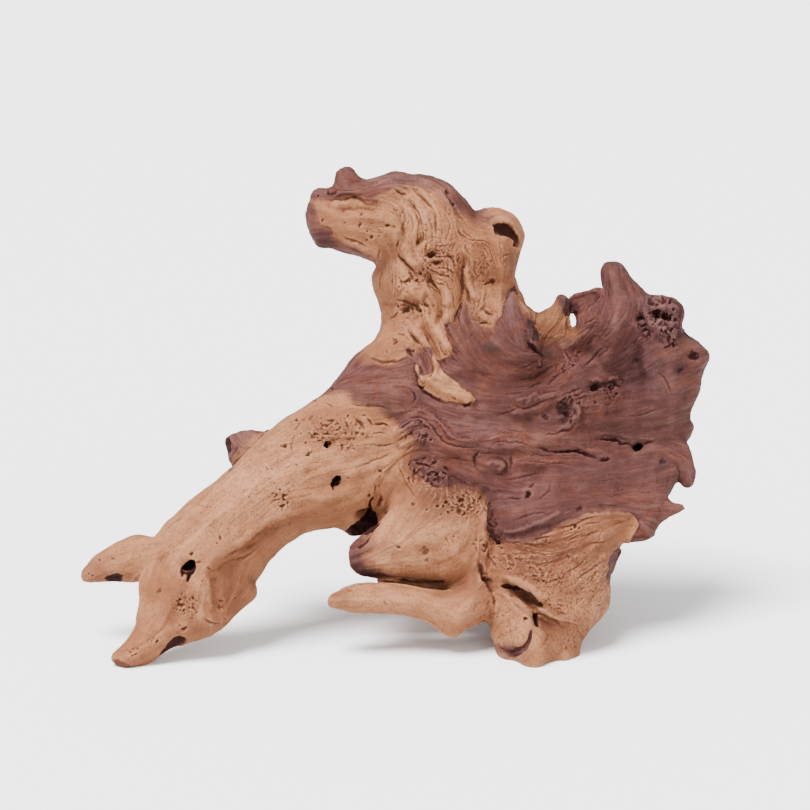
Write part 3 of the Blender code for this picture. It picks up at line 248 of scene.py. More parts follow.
# Pits: across, up, radius and depth
PITS = [
    (-25, 223, 0.6, 0.9), (-13.5, 218, 0.6, 1.0), (-12, 215, 0.9, 1.3), (-14.5, 214, 0.6, 1.0),
    (-4, 221, 0.9, 1.3), (-8, 216, 0.6, 0.8), (-36.5, 223.5, 0.8, 0.9), (-16.5, 226.8, 0.7, 0.9),
    (20.6, 202, 1.3, 1.3), (17.5, 206.6, 1.3, 1.4), (12.6, 197.3, 1.2, 1.6), (14, 199.2, 0.7, 1.0),
    (7, 194, 1.4, 1.6), (9.6, 193.3, 0.7, 1.0), (5, 193.2, 0.6, 0.9), (48.7, 193, 1.3, 1.5),
    (4, 178.6, 1.6, 1.8), (12, 178.9, 1.7, 2.0), (1, 180.6, 1.0, 1.4), (8, 179.5, 0.9, 1.2),
    (0, 163.3, 1.4, 1.6), (7.5, 158.3, 1.8, 1.4), (13, 140.3, 1.4, 1.3), (26, 237.6, 1.4, 1.2),
    (28.6, 231.5, 0.9, 1.2), (-33, 237.3, 0.9, 1.1), (-38, 236, 0.8, 1.0), (43.5, 200, 0.6, 0.9),
    (-32, 139.5, 0.9, 1.1), (-4, 158.6, 0.7, 0.7), (1, 188, 0.7, 0.9), (1.5, 190.5, 0.6, 0.8),
    (-49, 123.5, 0.9, 1.5), (-55, 111.2, 1.0, 1.6), (-47, 117, 0.6, 0.9), (-23.5, 126.4, 0.7, 1.2),
    (-34, 111.3, 1.7, 3.0), (-43.7, 106, 0.8, 1.2), (-42, 107.6, 0.6, 1.0), (-45, 112.5, 0.6, 0.9),
    (-40, 117, 0.7, 1.0), (-36, 115, 0.7, 1.0), (-29, 114, 0.6, 0.8), (-24, 113, 0.6, 0.8),
    (-12.7, 86.4, 0.9, 1.6), (-7, 98.3, 0.9, 1.2), (-8, 91, 0.5, 0.8), (-17, 98, 0.5, 0.6),
    (-56, 86, 0.7, 1.1), (-55.4, 84, 0.8, 1.2), (-56, 81, 0.9, 1.2), (-61, 87, 0.5, 0.8),
    (-60, 84, 0.5, 0.8), (-53.5, 83, 0.5, 0.7), (-87.6, 65, 0.9, 1.3), (-89, 62.5, 0.6, 0.9),
    (-102, 57, 1.1, 1.2), (-93, 50, 0.9, 0.8), (-107, 34, 0.7, 1.1), (-107, 31.4, 0.9, 1.4),
    (-106, 29, 0.7, 1.1), (-103, 30, 0.7, 1.0), (-101, 30.4, 0.8, 1.2), (-100, 29.3, 0.7, 1.0),
    (-101, 35.5, 0.8, 1.1), (-102.5, 33.5, 0.6, 0.9), (-99, 28.4, 0.6, 0.9), (-104, 32.5, 0.6, 0.9),
    (-118, 38.5, 1.4, 0.7), (-106, 19.6, 1.1, 1.5), (-104.5, 20.2, 0.8, 1.2), (-107.2, 21.2, 0.7, 1.0),
    (-119, 13, 0.9, 1.4), (-122, 13.5, 0.6, 0.9), (-121, 14.6, 0.5, 0.8), (-87, 30, 1.1, 0.9),
    (-86.5, 33.4, 0.7, 0.7), (-80, 35, 0.6, 0.7), (-148, 54, 1.1, 0.9), (-142, 54.5, 0.8, 0.6),
    (-151, 46.2, 0.7, 0.8), (-153.5, 47, 0.7, 0.8), (-97, 44, 0.5, 0.6), (-110, 58, 0.5, 0.5),
    (14, 115, 0.8, 0.9), (17.6, 114, 0.8, 0.9), (15, 58.5, 2.2, 0.8), (2, 60.5, 1.0, 0.7),
    (16, 54, 1.2, 0.5), (9, 82, 0.9, 0.9), (21, 81, 0.8, 1.2), (24, 80.8, 0.8, 1.2), (26, 83, 1.0, 1.4),
    (27, 81.5, 0.6, 1.0), (26.5, 78, 0.8, 1.1), (33, 84, 1.7, 1.6), (33.6, 81, 1.2, 1.3),
    (34.5, 86, 0.9, 1.2), (32, 78, 1.2, 1.4), (34.6, 77.4, 0.7, 1.0), (16.5, 79, 0.8, 0.7),
    (38, 80, 0.7, 1.0), (40, 84, 0.6, 0.9), (43, 85, 0.8, 1.0), (47, 82, 0.7, 1.0), (36, 88, 0.6, 0.9),
    (30.5, 81.6, 0.6, 0.9), (22, 84, 0.5, 0.8), (23, 77, 0.5, 0.7), (41.5, 78, 0.6, 0.9),
    (45, 61, 1.3, 1.4), (39.5, 61.5, 0.7, 1.0), (41, 64, 0.6, 0.8), (51.5, 62.6, 1.0, 1.3),
    (53, 60, 0.8, 1.1), (65, 24.4, 1.0, 1.6), (64, 22.8, 0.5, 0.8), (86, 10, 0.7, 0.8),
    (77.5, 31.4, 0.8, 1.0), (73, 33, 0.6, 0.8), (75, 32.3, 0.5, 0.8), (90, 71, 1.1, 1.6),
    (91.8, 70.3, 0.7, 1.0), (88, 69.6, 0.6, 0.9), (75, 125.4, 1.8, 0.9), (88, 122.5, 1.0, 1.2),
    (86, 126.2, 1.4, 1.4), (100, 140.2, 2.2, 2.0), (108, 139.8, 1.4, 1.5), (111, 137, 0.8, 0.8),
    (100, 133, 0.8, 0.7), (120.5, 153.6, 1.4, 0.7), (128, 182.6, 1.6, 2.0), (131, 177, 2.3, 3.0),
    (134.4, 176, 2.2, 2.8), (137.3, 175, 1.6, 2.0), (134.5, 184, 1.5, 1.8), (137.5, 182.6, 1.2, 1.4),
    (141, 174, 1.4, 1.4), (122, 176.2, 1.0, 1.3), (123.2, 171, 1.2, 1.5), (124.8, 168.4, 1.0, 1.3),
    (126, 166, 0.9, 1.1), (133, 168, 1.2, 1.4), (136, 167.4, 1.4, 1.6), (138.6, 169.2, 1.2, 1.4),
    (137, 165, 1.2, 1.4), (140, 163.4, 1.2, 1.3), (139, 161.4, 1.1, 1.2), (130.8, 181.6, 1.1, 1.4),
    (139.5, 179.5, 1.2, 1.3), (149.6, 156.4, 2.2, 1.4), (143, 148.4, 1.4, 0.7), (121.6, 109.9, 1.4, 2.6),
    (134, 103, 1.6, 0.8), (66.6, 87.3, 1.3, 1.8),
]

# Soft ridges and hollows: height and half width, then the line
SWELLS = [
    (1.2, 2.0, [(11, 170), (15, 163), (18, 158), (19.5, 152), (20, 148)]),
    (1.2, 2.4, [(20, 172), (24, 165), (27, 158)]), (0.9, 1.2, [(11, 150.5), (12.8, 147), (15, 143)]),
    (-1.6, 4.0, [(3, 180), (13, 179.5)]), (1.0, 3.0, [(2, 187.5), (9, 186.5), (16, 186)]),
    (0.8, 2.2, [(3, 238.5), (9, 234), (13, 228), (15.5, 221), (13, 213)]),
    (0.8, 2.2, [(13, 238), (18, 232), (22, 225), (22, 216)]),
    (0.8, 2.4, [(6, 214), (5, 208), (9, 203), (13, 200)]),
    (0.9, 2.2, [(20, 196), (22, 192), (26, 187), (26, 180)]),
    (0.8, 2.0, [(36, 203), (36, 195), (38, 189), (41, 183)]), (0.8, 2.2, [(46, 223), (54, 224), (60, 219)]),
    (-0.8, 3.0, [(-30, 229), (-18, 230), (-6, 228)]), (0.9, 2.0, [(-34, 231), (-22, 232.5), (-12, 230)]),
    (0.9, 1.8, [(2, 123.5), (10, 128), (16, 127), (23, 121), (28.5, 115.6), (36, 113.4), (46, 113)]),
    (0.7, 1.6, [(46, 113), (51, 115.6), (62, 115.6), (68, 114)]), (0.7, 3.6, [(12, 116), (15, 115)]),
    (0.6, 1.4, [(2, 117), (9, 122), (16, 122.5), (20, 118)]), (0.6, 1.4, [(1, 110), (8, 114), (14, 117)]),
    (0.8, 1.6, [(64, 131.5), (72, 135), (82, 137)]), (0.9, 1.6, [(60, 133), (66, 134.5), (72, 137.5)]),
    (0.9, 2.0, [(80, 119.5), (87, 121.5), (91.5, 128), (90, 134)]), (-1.0, 3.0, [(84, 134), (85, 126)]),
    (0.4, 1.6, [(80, 110.5), (90, 110.8), (98, 108.5), (108, 107.5)]),
    (0.3, 1.6, [(98, 117), (112, 116.5), (121, 113)]), (-0.8, 2.6, [(-90, 48), (-89, 38), (-87, 28)]),
    (0.7, 2.0, [(-93, 46), (-93, 36), (-91, 28)]),
    (-0.7, 1.8, [(-90, 52), (-76, 60), (-62, 70), (-46, 76), (-34, 79)]),
    (0.6, 2.4, [(-90, 55), (-77, 63), (-63, 74), (-46, 80)]),
    (0.9, 2.0, [(54, 44.5), (62, 43.5), (70, 38.5), (76, 32)]),
    (0.9, 1.8, [(67, 32), (76, 28), (86, 22.5)]), (0.7, 1.6, [(52, 68), (60, 68.5), (72, 73), (84, 79)]),
    (-0.8, 2.4, [(121, 178), (124, 170), (127, 163)]), (0.9, 1.6, [(130, 172.5), (136, 173.5), (141, 171)]),
    (0.9, 1.6, [(126, 180), (131, 180.6), (136, 180)]),
    (0.7, 1.4, [(97, 143.5), (101, 144.5), (103.5, 142)]),
    (0.7, 1.4, [(105, 143.5), (110, 145), (113.5, 141.5)]),
    (0.6, 1.6, [(44, 101), (49, 103), (54, 101), (50, 98.5)]),
    (0.8, 2.6, [(80, 160), (90, 163), (97, 170)]),
]

# Outlines of the heartwood where it shows, as seen from the front
HEARTWOOD_PATCHES = [
    [(-48, 133), (-40, 132.3), (-32, 131.8), (-24, 132), (-13, 131), (-6, 127), (0, 122), (6, 119),
     (10, 114), (8, 108), (7, 101), (11, 96), (16, 92.5), (20, 90.3), (30, 90), (40, 88), (44.5, 84),
     (46, 76), (45.5, 69), (50, 63.5), (57, 61), (66, 62), (72, 65), (80, 69), (87, 73), (94, 76.5),
     (102, 77.5), (110, 78), (117, 77.5), (120.5, 75), (122, 71.5), (119.5, 68), (118, 64), (122, 56),
     (175, 56), (175, 215), (86, 215), (82, 196), (84, 188), (85, 180), (88, 174), (91, 169), (90, 167),
     (84, 166), (79, 165.5), (74, 165.5), (72.4, 167), (71, 170), (69, 173), (65, 177.5), (62, 183),
     (59, 191), (56, 187), (54.5, 180), (52, 174), (48, 170), (42, 171), (40, 175), (38.5, 181), (36, 184),
     (33, 182.5), (31, 178), (29, 174), (25, 171.5), (25.5, 166), (28.5, 160), (27, 156), (20, 153.5),
     (19, 158), (14, 160), (10, 159.5), (7, 157), (0, 153.5), (-8, 153.5), (-17, 157), (-26, 161),
     (-48, 152)],
    [(-48, 233.5), (-41, 233), (-35, 233.3), (-28, 233), (-23, 234.8), (-18, 234.6), (-13, 232.3),
     (-9, 231.8), (-7, 235), (-3, 238), (2, 241), (8, 242), (14, 242), (19, 241.5), (23, 240), (25, 237),
     (27, 232), (30, 229.5), (35, 227.5), (38, 224), (43, 222.5), (50, 223.5), (49, 226), (46, 228),
     (44, 236), (40, 256), (-48, 258)],
    [(-52, 236), (-40, 233), (-39, 226), (-37.5, 221.5), (-33, 221), (-31, 219), (-30.4, 214.6),
     (-24, 211.4), (-17, 208.6), (-10, 205.2), (-9, 203), (-33, 203), (-52, 205)],
    [(-90, 98), (-90, 126), (-63, 122), (-66, 117.3), (-70, 115.5), (-76, 110.5), (-80, 106), (-82, 98)],
    [(-26, 43), (-26, 65), (-16, 66.5), (-12.5, 67.5), (-13.5, 62), (-15, 57), (-12, 52), (-8, 48),
     (-8, 43)],
    [(106, 42), (118, 42), (118, 62.5), (111, 60.5), (108, 58), (105.8, 54), (106.2, 50), (105, 45.5)],
    [(52.3, 12), (54.4, 8.4), (58, 5.6), (63, 6.4), (67, 10.3), (68.7, 14), (68.5, 19), (66.8, 18.4),
     (66.2, 14), (63.5, 11), (59, 9.7), (55.4, 10.8)],
    [(53.2, 40.6), (56, 42.4), (60, 42.2), (63, 40.6), (67, 37.6), (71, 34.6), (72.4, 32), (69, 33.8),
     (65, 36), (61, 37.8), (56, 39.2)],
    [(5, 159.5), (10, 159.5), (9, 157), (5, 157)],
    [(81, 192), (86.5, 190), (88, 182), (87, 176), (84.6, 176.6), (82.8, 180), (81.4, 184)],
]

# Sapwood that lies over the heartwood
SAPWOOD_PATCHES = [
    [(16.5, 162), (18, 157), (18.6, 151), (18.2, 147.5), (14, 146), (12.5, 147.5), (11.8, 151.6), (10, 151),
     (11.5, 146), (12, 142.5), (14, 139.5), (20, 135.8), (26, 133.8), (31, 132.8), (36, 132), (39.5, 133),
     (40, 134.4), (37, 137.2), (32.3, 141), (26.6, 145.6), (22, 149.8), (20.5, 155), (19.5, 162)],
    [(-38, 134), (-34, 137.5), (-28, 138.5), (-23, 137), (-22, 133.5), (-24, 130), (-38, 130)],
]

# Soft patches of tone and texture: strength, middle, reach along and across, and any turn in degrees
PATCHES = {
    "deep": [
        (1.0, 66, 50, 17, 7, -15), (1.0, 34, 82, 11, 7), (0.7, 16, 98, 10, 6), (0.9, -81, 39, 10, 14),
        (0.8, -68, 60, 22, 5, 38), (0.7, -48, 73, 15, 4, 12), (0.7, -98, 19, 13, 4, 18),
        (0.5, 38, 52, 7, 11, -20), (0.7, 38, 40, 9, 8), (0.6, 24, 40, 9, 4), (1.0, 27, 88, 14, 9),
        (0.8, 78, 53, 26, 8, 12), (0.6, 100, 68, 20, 6, 18), (0.7, 62, 36, 9, 4, -30),
        (0.8, 76, 20, 8, 6, -20), (0.6, 60, 8, 10, 4, 10), (0.7, -4, 159, 12, 4, 20), (0.6, 4, 182, 12, 6),
        (0.6, 24, 204, 9, 6), (0.5, 43, 202, 7, 12), (0.5, -33, 118, 12, 8), (0.6, -104, 31, 8, 7),
        (0.5, 10, 118, 12, 6, 20), (0.8, 14, 104, 8, 8), (0.7, -6, 128, 8, 4), (0.6, 38, 84, 10, 7),
        (0.7, -28, 34, 7, 4), (0.6, -26, 211, 12, 3, -18), (0.6, -6, 205, 4, 6), (0.6, 56, 206, 6, 5),
        (0.7, -150, 46, 8, 3), (0.7, -135, 3, 7, 3, -30), (0.5, -118, 38, 6, 5), (1.0, 78, 57, 24, 9, 8),
        (0.8, 101, 58, 9, 6, 20), (0.8, 92, 66, 12, 3, 18), (0.6, 84, 44, 10, 5, -20), (0.5, 98, 36, 8, 5),
        (0.6, 92, 22, 6, 4),
    ],
    "dusk": [
        (0.8, 64, 50, 13, 5, -18), (0.65, 37, 82, 7, 5.5), (0.5, 15, 98, 9, 5), (0.2, 112, 150, 16, 14),
        (0.35, 116, 100, 26, 10, -6), (0.35, 132, 134, 12, 12), (0.35, 76, 84, 14, 5, 10),
        (0.5, 82.5, 181, 3, 5), (0.35, 84, 40, 8, 4, -25), (0.4, 54, 104, 3, 8, 20), (0.4, 40.5, 104, 2, 6),
        (0.95, 117, 119, 20, 9), (1.0, 27, 87, 18, 11), (1.0, 78, 59, 20, 8, 8), (0.85, 79, 166.5, 10, 4.5),
        (0.5, 30, 79, 9, 6), (0.5, 70, 61, 14, 5), (0.6, 62, 3.5, 9, 2.5, 6), (0.7, 76, 21.5, 8, 3.5, -28),
        (0.5, 75.5, 14, 1.6, 6, -10), (0.6, 57.5, 203.5, 3.2, 4.6), (0.5, 72, 48, 16, 4, -8),
        (0.5, 50, 67, 3, 8), (0.35, -5, 200, 5, 20), (0.4, 96, 160, 12, 8, 30), (0.4, 100, 142, 12, 8),
        (0.35, 66, 160, 6, 8), (0.4, 26, 40, 10, 3), (0.5, 44, 52, 4, 12, -20), (0.45, 72, 30, 12, 5, -30),
        (0.4, -80, 42, 8, 10), (0.35, 12, 104, 8, 9), (0.4, 86, 128, 7, 8), (0.35, 60, 124, 14, 5),
        (0.35, 58, 70, 12, 5, 20), (0.4, 62, 8, 9, 4), (0.5, -4, 60, 5, 3), (0.3, 16, 57, 5, 4),
        (0.4, 8, 181, 9, 4), (0.35, 24, 204, 8, 5), (0.4, -34, 118, 14, 6), (0.7, 60, 140, 12, 8),
        (0.6, 88, 153, 7, 7), (0.5, 100, 94, 20, 8), (0.5, 128, 118, 12, 8), (0.5, 100, 58, 5, 3, 30),
        (0.35, 88, 40, 4, 3), (0.3, 97, 37, 4, 3), (0.3, 106, 67, 6, 3, 10), (0.3, 44, 66, 5, 10),
        (0.35, -29, 34, 6, 4), (0.35, -151, 50, 5, 6), (0.3, 100, 72, 14, 5, 18),
    ],
    "blurred": [
        (0.7, 42, 165, 18, 10, -20), (0.8, -20, 153, 24, 5, 20), (0.9, 24, 236, 20, 6, -20),
        (0.6, 18, 108, 14, 12), (0.8, 45, 224, 6, 4), (0.9, -14, 55, 4, 10), (0.6, 58, 63, 12, 4),
        (0.4, -38, 222, 6, 10), (0.7, 84, 163, 8, 7), (0.5, 40, 88, 10, 6), (0.6, -10, 235, 24, 4),
        (0.6, -76, 112, 10, 8, 30),
    ],
    "crisp": [
        (1.0, 24, 143, 20, 8, -35), (1.0, 22, 160, 6, 12), (0.3, 110, 76, 16, 4), (0.8, 46, 76, 4, 12),
        (0.8, 110, 52, 7, 9), (0.5, 60, 10, 12, 8),
    ],
    "ash": [
        (0.8, 125, 146, 14, 12), (1.0, 133, 174, 12, 11), (0.5, 118, 160, 18, 14), (0.5, 104, 176, 6, 14),
        (0.4, 138, 130, 8, 14), (0.3, 128, 118, 14, 8), (0.35, 110, 98, 26, 8, -4), (0.4, 58, 180, 5, 8),
        (0.7, 84, 183, 4, 8), (0.3, 60, 92, 16, 8), (0.35, 14, 244, 26, 4, -6), (0.2, 60, 124, 24, 5, -4),
    ],
    "purple": [
        (1.0, 66, 70, 22, 5, 17), (0.9, 86, 77, 12, 3.5, 22), (0.8, 122, 146, 15, 13, 20),
        (0.6, 62, 166, 9, 12), (0.8, 64, 138, 16, 7, 10), (0.6, 134, 124, 9, 9, 30),
        (0.6, 104, 101, 20, 5, -4), (0.8, -18, 54, 5, 11), (0.8, -37, 216, 6, 5), (0.6, 86, 130, 8, 9),
        (0.7, 96, 138, 14, 6), (0.5, 34, 117, 14, 5), (0.6, 54, 92, 14, 8), (1.0, 60, 8.3, 7, 2.0, 6),
        (0.9, 67, 14.5, 1.8, 4.5), (0.5, 138, 96, 10, 8), (0.6, 33, 235, 5, 7), (0.5, 12, 245, 20, 2.5, -6),
        (0.8, 130, 174, 12, 12), (0.6, 60, 206, 4, 5), (0.5, 110, 50, 4, 8),
    ],
    "rust": [
        (0.8, 55, 145, 15, 8, -20), (0.7, 66, 97, 18, 8), (0.7, 30, 104, 14, 9), (0.5, 74, 136, 10, 6),
        (0.4, 92, 128, 10, 8), (0.4, -24, 142, 8, 5, 10), (0.5, 8, 136, 10, 5), (0.4, 98, 104, 16, 4),
        (1.0, 87, 154, 6, 8, -30), (0.5, 72, 160, 8, 4), (0.5, 64, 144, 14, 4, 10), (0.6, 56, 104, 12, 6),
        (0.4, 104, 128, 6, 10), (0.5, 66, 92, 8, 6), (0.6, 118, 92, 12, 8), (0.5, -10, 236, 20, 4),
        (0.8, 12, 127.5, 8, 2.6, 10), (0.9, 24, 118, 7, 3, -45), (0.9, 38, 112.5, 12, 2.6),
        (0.6, 60, 115, 12, 3), (0.7, 28, 101, 7, 6), (0.45, -14, 144, 20, 7, 20), (0.4, 36, 160, 14, 9),
        (0.5, 78, 132, 8, 5), (0.5, 44, 148, 12, 5, -10), (0.4, 96, 120, 16, 4), (0.5, 108, 146, 6, 5),
        (0.4, 104, 176, 5, 10), (0.4, 84, 106, 12, 5), (0.4, 128, 112, 6, 4, 20), (0.4, 84, 92, 8, 5),
    ],
    "pale": [
        (1.0, 2, 54, 18, 8, 5), (0.8, 28, 29, 16, 8), (1.0, 61, 9, 10, 6), (1.0, 66, 36.4, 8, 3, -30),
        (0.8, -19, 210, 13, 3.5, -18), (0.6, 136, 176, 6, 6), (0.5, 60, 176, 5, 10), (0.5, 36, 66, 8, 14),
        (0.5, -30, 106, 20, 5), (0.6, 134, 84, 14, 11), (0.7, -76, 114, 6, 4, 30), (0.7, 112, 182, 7, 11),
        (0.6, -5, 142, 20, 8, 20), (0.85, 10, 222, 18, 11, -40), (0.1, -20, 226, 14, 6),
        (0.95, -70, 92, 36, 13, 38), (0.6, -104, 66, 14, 10, 30), (0.8, -95, 38, 5, 10),
        (0.95, -6, 34, 30, 6, 4), (0.9, 14, 68, 24, 11, 10), (0.6, -14, 102, 22, 8, 10),
        (1.0, 98, 38, 11, 17), (0.6, 60, 22, 8, 10), (0.7, 0, 194, 9, 11), (1.0, 26, 143, 12, 5, -32),
        (0.6, 24, 165, 4, 8, 20), (0.6, 88, 12, 6, 8), (0.5, 8, 203, 6, 6), (0.6, 48, 186, 8, 5),
        (0.6, -134, 56, 18, 7, 8), (0.5, 44, 120, 18, 5, -4), (0.5, -4, 144, 26, 6, 20),
        (0.4, 60, 110, 22, 6), (0.4, 112, 190, 5, 10), (0.5, 8, 130, 14, 3), (1.0, 12, 242, 22, 4, -4),
        (0.5, 98, 166, 4, 3, 30), (0.8, 79, 175.5, 8, 4), (0.9, 70.5, 177, 3.5, 6),
    ],
    "char": [
        (0.45, -37, 212.5, 6, 2.6, -12), (0.3, 136.5, 175, 3, 3), (0.75, 69.3, 170, 2.0, 5.5, 12),
        (0.7, 150, 156.5, 3, 2), (0.35, 123, 173, 3, 6, 15), (0.45, 86, 128, 4, 7), (0.5, 100, 140, 4, 3.5),
        (0.5, 134, 103, 3, 2.5), (0.4, 143, 149, 2, 3), (0.5, 48, 160, 4, 2), (0.4, -5, 129, 4, 3),
        (0.5, 109, 202, 3, 1.5), (0.5, 57, 186, 2, 2), (0.35, 76, 126, 3, 2), (0.45, 43, 111, 9, 1.6, 4),
        (0.4, 12, 137, 4, 3), (0.5, -15, 47.5, 7, 1.4, -8), (0.4, 88, 164, 3, 2), (0.5, 84, 182, 2, 3),
        (0.5, 75, 158, 4, 2), (0.35, 120, 154, 3, 2), (0.4, 144, 134, 1.5, 3), (0.5, 128, 183, 3, 2),
    ],
    "burl": [
        (0.8, 57, 53, 8, 5, -25), (0.75, 72, 47, 11, 5, -18), (0.6, 66, 57, 8, 2.5),
        (1.0, 36.5, 82, 6.5, 5), (0.7, -30, 118, 17, 7, -6), (0.8, 24, 203, 9, 6), (0.9, 16, 98, 9, 6),
        (0.8, -104, 31, 5, 6), (0.6, -57, 85, 5, 5), (0.5, 133, 176, 10, 8), (0.5, 137, 165, 6, 6),
        (0.6, 87, 153, 6, 6), (0.6, 88, 131, 6, 8), (0.4, 108, 139, 6, 6), (0.7, 8, 180, 10, 4),
        (0.5, 10, 195, 8, 5), (0.5, 33, 82, 10, 7), (0.4, 43, 199, 6, 9), (0.5, 12, 118, 8, 6),
        (0.5, 124, 172, 4, 8), (0.4, 48, 68, 5, 9), (0.5, 88, 55, 5, 4), (0.4, -130, 8, 5, 4),
        (0.4, 82, 30, 6, 4), (0.4, 75, 64, 6, 3),
    ],
    "ridged": [
        (1.0, 14, 222, 26, 16, -30), (0.9, 24, 184, 24, 16), (0.8, 44, 208, 14, 12), (0.9, 18, 160, 14, 12),
        (0.4, 70, 146, 20, 12, 20), (0.35, 112, 165, 20, 24), (0.5, 84, 64, 34, 9, 14),
        (0.7, 12, 118, 16, 9, 20), (0.35, 60, 110, 40, 10), (0.5, 96, 52, 14, 12), (0.25, 100, 88, 30, 10),
        (0.3, -50, 100, 50, 16, 30), (0.4, 96, 175, 8, 8), (0.7, 80, 172, 10, 9),
    ],
    "gritty": [
        (1.0, 86, 46, 26, 20), (0.8, 68, 52, 14, 10), (0.7, 36, 84, 14, 10), (0.5, -34, 114, 20, 8),
        (0.5, 10, 196, 12, 14), (0.4, 44, 200, 8, 12), (0.5, 62, 14, 10, 8), (0.6, 96, 68, 18, 6, 16),
        (0.4, 14, 100, 10, 10), (0.3, 20, 226, 22, 12, -30), (0.4, -104, 32, 10, 10), (0.8, 84, 22, 14, 12),
        (0.7, 56, 24, 8, 12), (0.3, -60, 92, 30, 16, 38),
    ],
}

# Patches strewn with small pits, given in the same way
PITTED_PATCHES = [
    (0.7, 86, 44, 20, 12), (0.6, 98, 64, 10, 5, 15), (0.5, 70, 56, 10, 8), (0.8, 32, 82, 13, 8),
    (1.0, 60, 49, 6, 4), (0.9, 77, 45.5, 4, 3), (0.9, 86, 51, 4, 5, 30), (0.8, 99, 57, 3, 2),
    (0.9, 76, 64, 4, 3), (0.9, 52, 62, 3, 4), (0.8, 84, 27.5, 3, 2), (0.5, 46, 72, 6, 12),
    (0.6, -36, 115, 13, 7), (0.4, 96, 34, 10, 10), (0.5, -103, 31, 6, 6), (0.3, 26, 66, 12, 8),
    (0.4, -6, 216, 12, 8), (0.5, 43, 202, 6, 8), (0.3, 55, 22, 6, 8), (0.5, 8, 192, 9, 5),
    (0.5, 77, 31, 8, 5), (0.3, -60, 95, 24, 12, 30), (0.4, 132, 170, 10, 10), (0.4, 90, 12, 5, 6),
]

# Hollows painted with shade: depth in millimetres, darkness of the painted shade and outline
HOLLOWS = [
    (4.5, 1.0, [(-107, 46), (-107, 50), (-105.6, 52.5), (-103.5, 54), (-100.5, 54), (-99, 52.5),
                (-99.2, 50), (-100.4, 47), (-102, 46), (-103, 43.2), (-104.4, 43.6), (-104.2, 46),
                (-105.4, 46.6), (-106, 45.4), ]),
    (3.5, 1.0, [(-25, 68.5), (-21, 66), (-13.5, 67), (-10, 69), (-8.2, 72), (-8.1, 75), (-9.3, 77.5),
                (-11, 78.6), (-11.6, 80), (-11.2, 82.5), (-10, 84), (-10.8, 86), (-12.4, 84.5), (-13.2, 82),
                (-14, 79), (-15.6, 76.5), (-18.5, 73.7), (-22, 71.7), ]),
    (3.5, 1.0, [(-32.2, 92), (-31, 95), (-29, 96.6), (-27, 96.2), (-26.4, 94.6), (-27.4, 93.2),
                (-29.4, 92.8), (-30.2, 91), (-30.6, 88.6), (-31.6, 89), ]),
    (2.0, 0.95, [(-118, 6), (-114, 11.5), (-111, 14.6), (-107, 16.4), (-104.5, 15), (-107, 12), (-112, 7)]),
    (1.6, 0.95, [(-146, 44.6), (-142, 46.8), (-138.6, 47.4), (-135.4, 45.4), (-138, 42.5), (-144, 42.5)]),
    (0.8, 0.6, [(-141, 5), (-137.4, 4), (-134, 2), (-130.5, 0.6), (-134, -1.5), (-140, 1)]),
    (1.4, 0.75, [(-19.4, 60.6), (-15.6, 63), (-13.2, 65.8), (-12, 66), (-12.8, 63.4), (-15.4, 60.6),
                 (-18, 59.4)]),
    (2.4, 0.85, [(48.4, 221.4), (52, 222.6), (56, 222.2), (59, 220), (60.6, 218.6), (62, 215.4),
                 (62.8, 212), (61, 209.8), (58.4, 210.8), (58.6, 213), (56.8, 214.8), (54, 215.4),
                 (51.4, 217), (49.8, 217.2), (49, 219.4), ]),
    (2.0, 0.85, [(-85.4, 110), (-85, 114), (-83.6, 116), (-82.2, 115), (-82, 111), (-82, 107.6),
                 (-84, 106.6)]),
    (2.2, 0.55, [(52.6, 41), (56, 42.9), (60, 42.7), (62.6, 41.2), (63.4, 39), (60, 38.6), (56, 39.4),
                 (53, 40)]),
    (3.0, 1.0, [(66, 163.5), (69, 162), (72.5, 158.5), (75, 156.5), (73, 156.2), (69.5, 158), (67, 160.5)]),
    (3.4, 1.0, [(68.4, 25.4), (69, 28.4), (71.6, 27.4), (71.4, 24), (72.2, 20.4), (70.4, 19.8),
                (68.6, 22)]),
]

# Gaps that go right through: how far their walls are drawn back, and outline
GAPS = [
    (1.0, [(86.2, 166), (91.8, 166.6), (91.4, 176), (90, 187), (87, 187)]),
    (1.0, [(118.8, 108.2), (125, 109), (125, 112.4), (118.8, 111.8)]),
]

# Painted shadow along edges that run under the wood: strength and half width, then the line
SHADOW_LINES = [
    (0.9, 1.2, [(-18, 46.6), (-8, 46), (4, 43.6), (16, 42.6), (24, 42.8)]),
    (0.6, 1.2, [(66, 177), (69, 172), (71.5, 165)]), (0.6, 1.0, [(88, 184.5), (94, 186.5), (100, 187.5)]),
    (0.6, 1.2, [(137, 184.5), (142.5, 181), (143, 176)]),
    (0.6, 1.2, [(140.5, 171), (143, 168), (142, 165)]), (0.5, 1.0, [(144.5, 91), (148, 90.5)]),
    (0.5, 1.0, [(119.5, 65.5), (126, 65.3)]), (0.8, 1.4, [(43, 51), (45, 46.6), (46.8, 43), (48, 38.5)]),
]

# Strands of the grain: width and length in millimetres
STRANDS = {
    "fine": (0.5, 6.0), "stain": (0.9, 16.0), "middle": (1.2, 15.0), "coarse": (2.8, 32.0),
    "broad": (7.0, 50.0),
}

# Sums of strands: the share of each
MIXED_STRANDS = {
    "streaks": {"coarse": 0.5, "middle": 0.25, "broad": 0.6},
    "grain": {"fine": 0.45, "middle": 0.3, "coarse": 0.3},
    "tone": {"broad": 0.25, "coarse": 0.12},
}

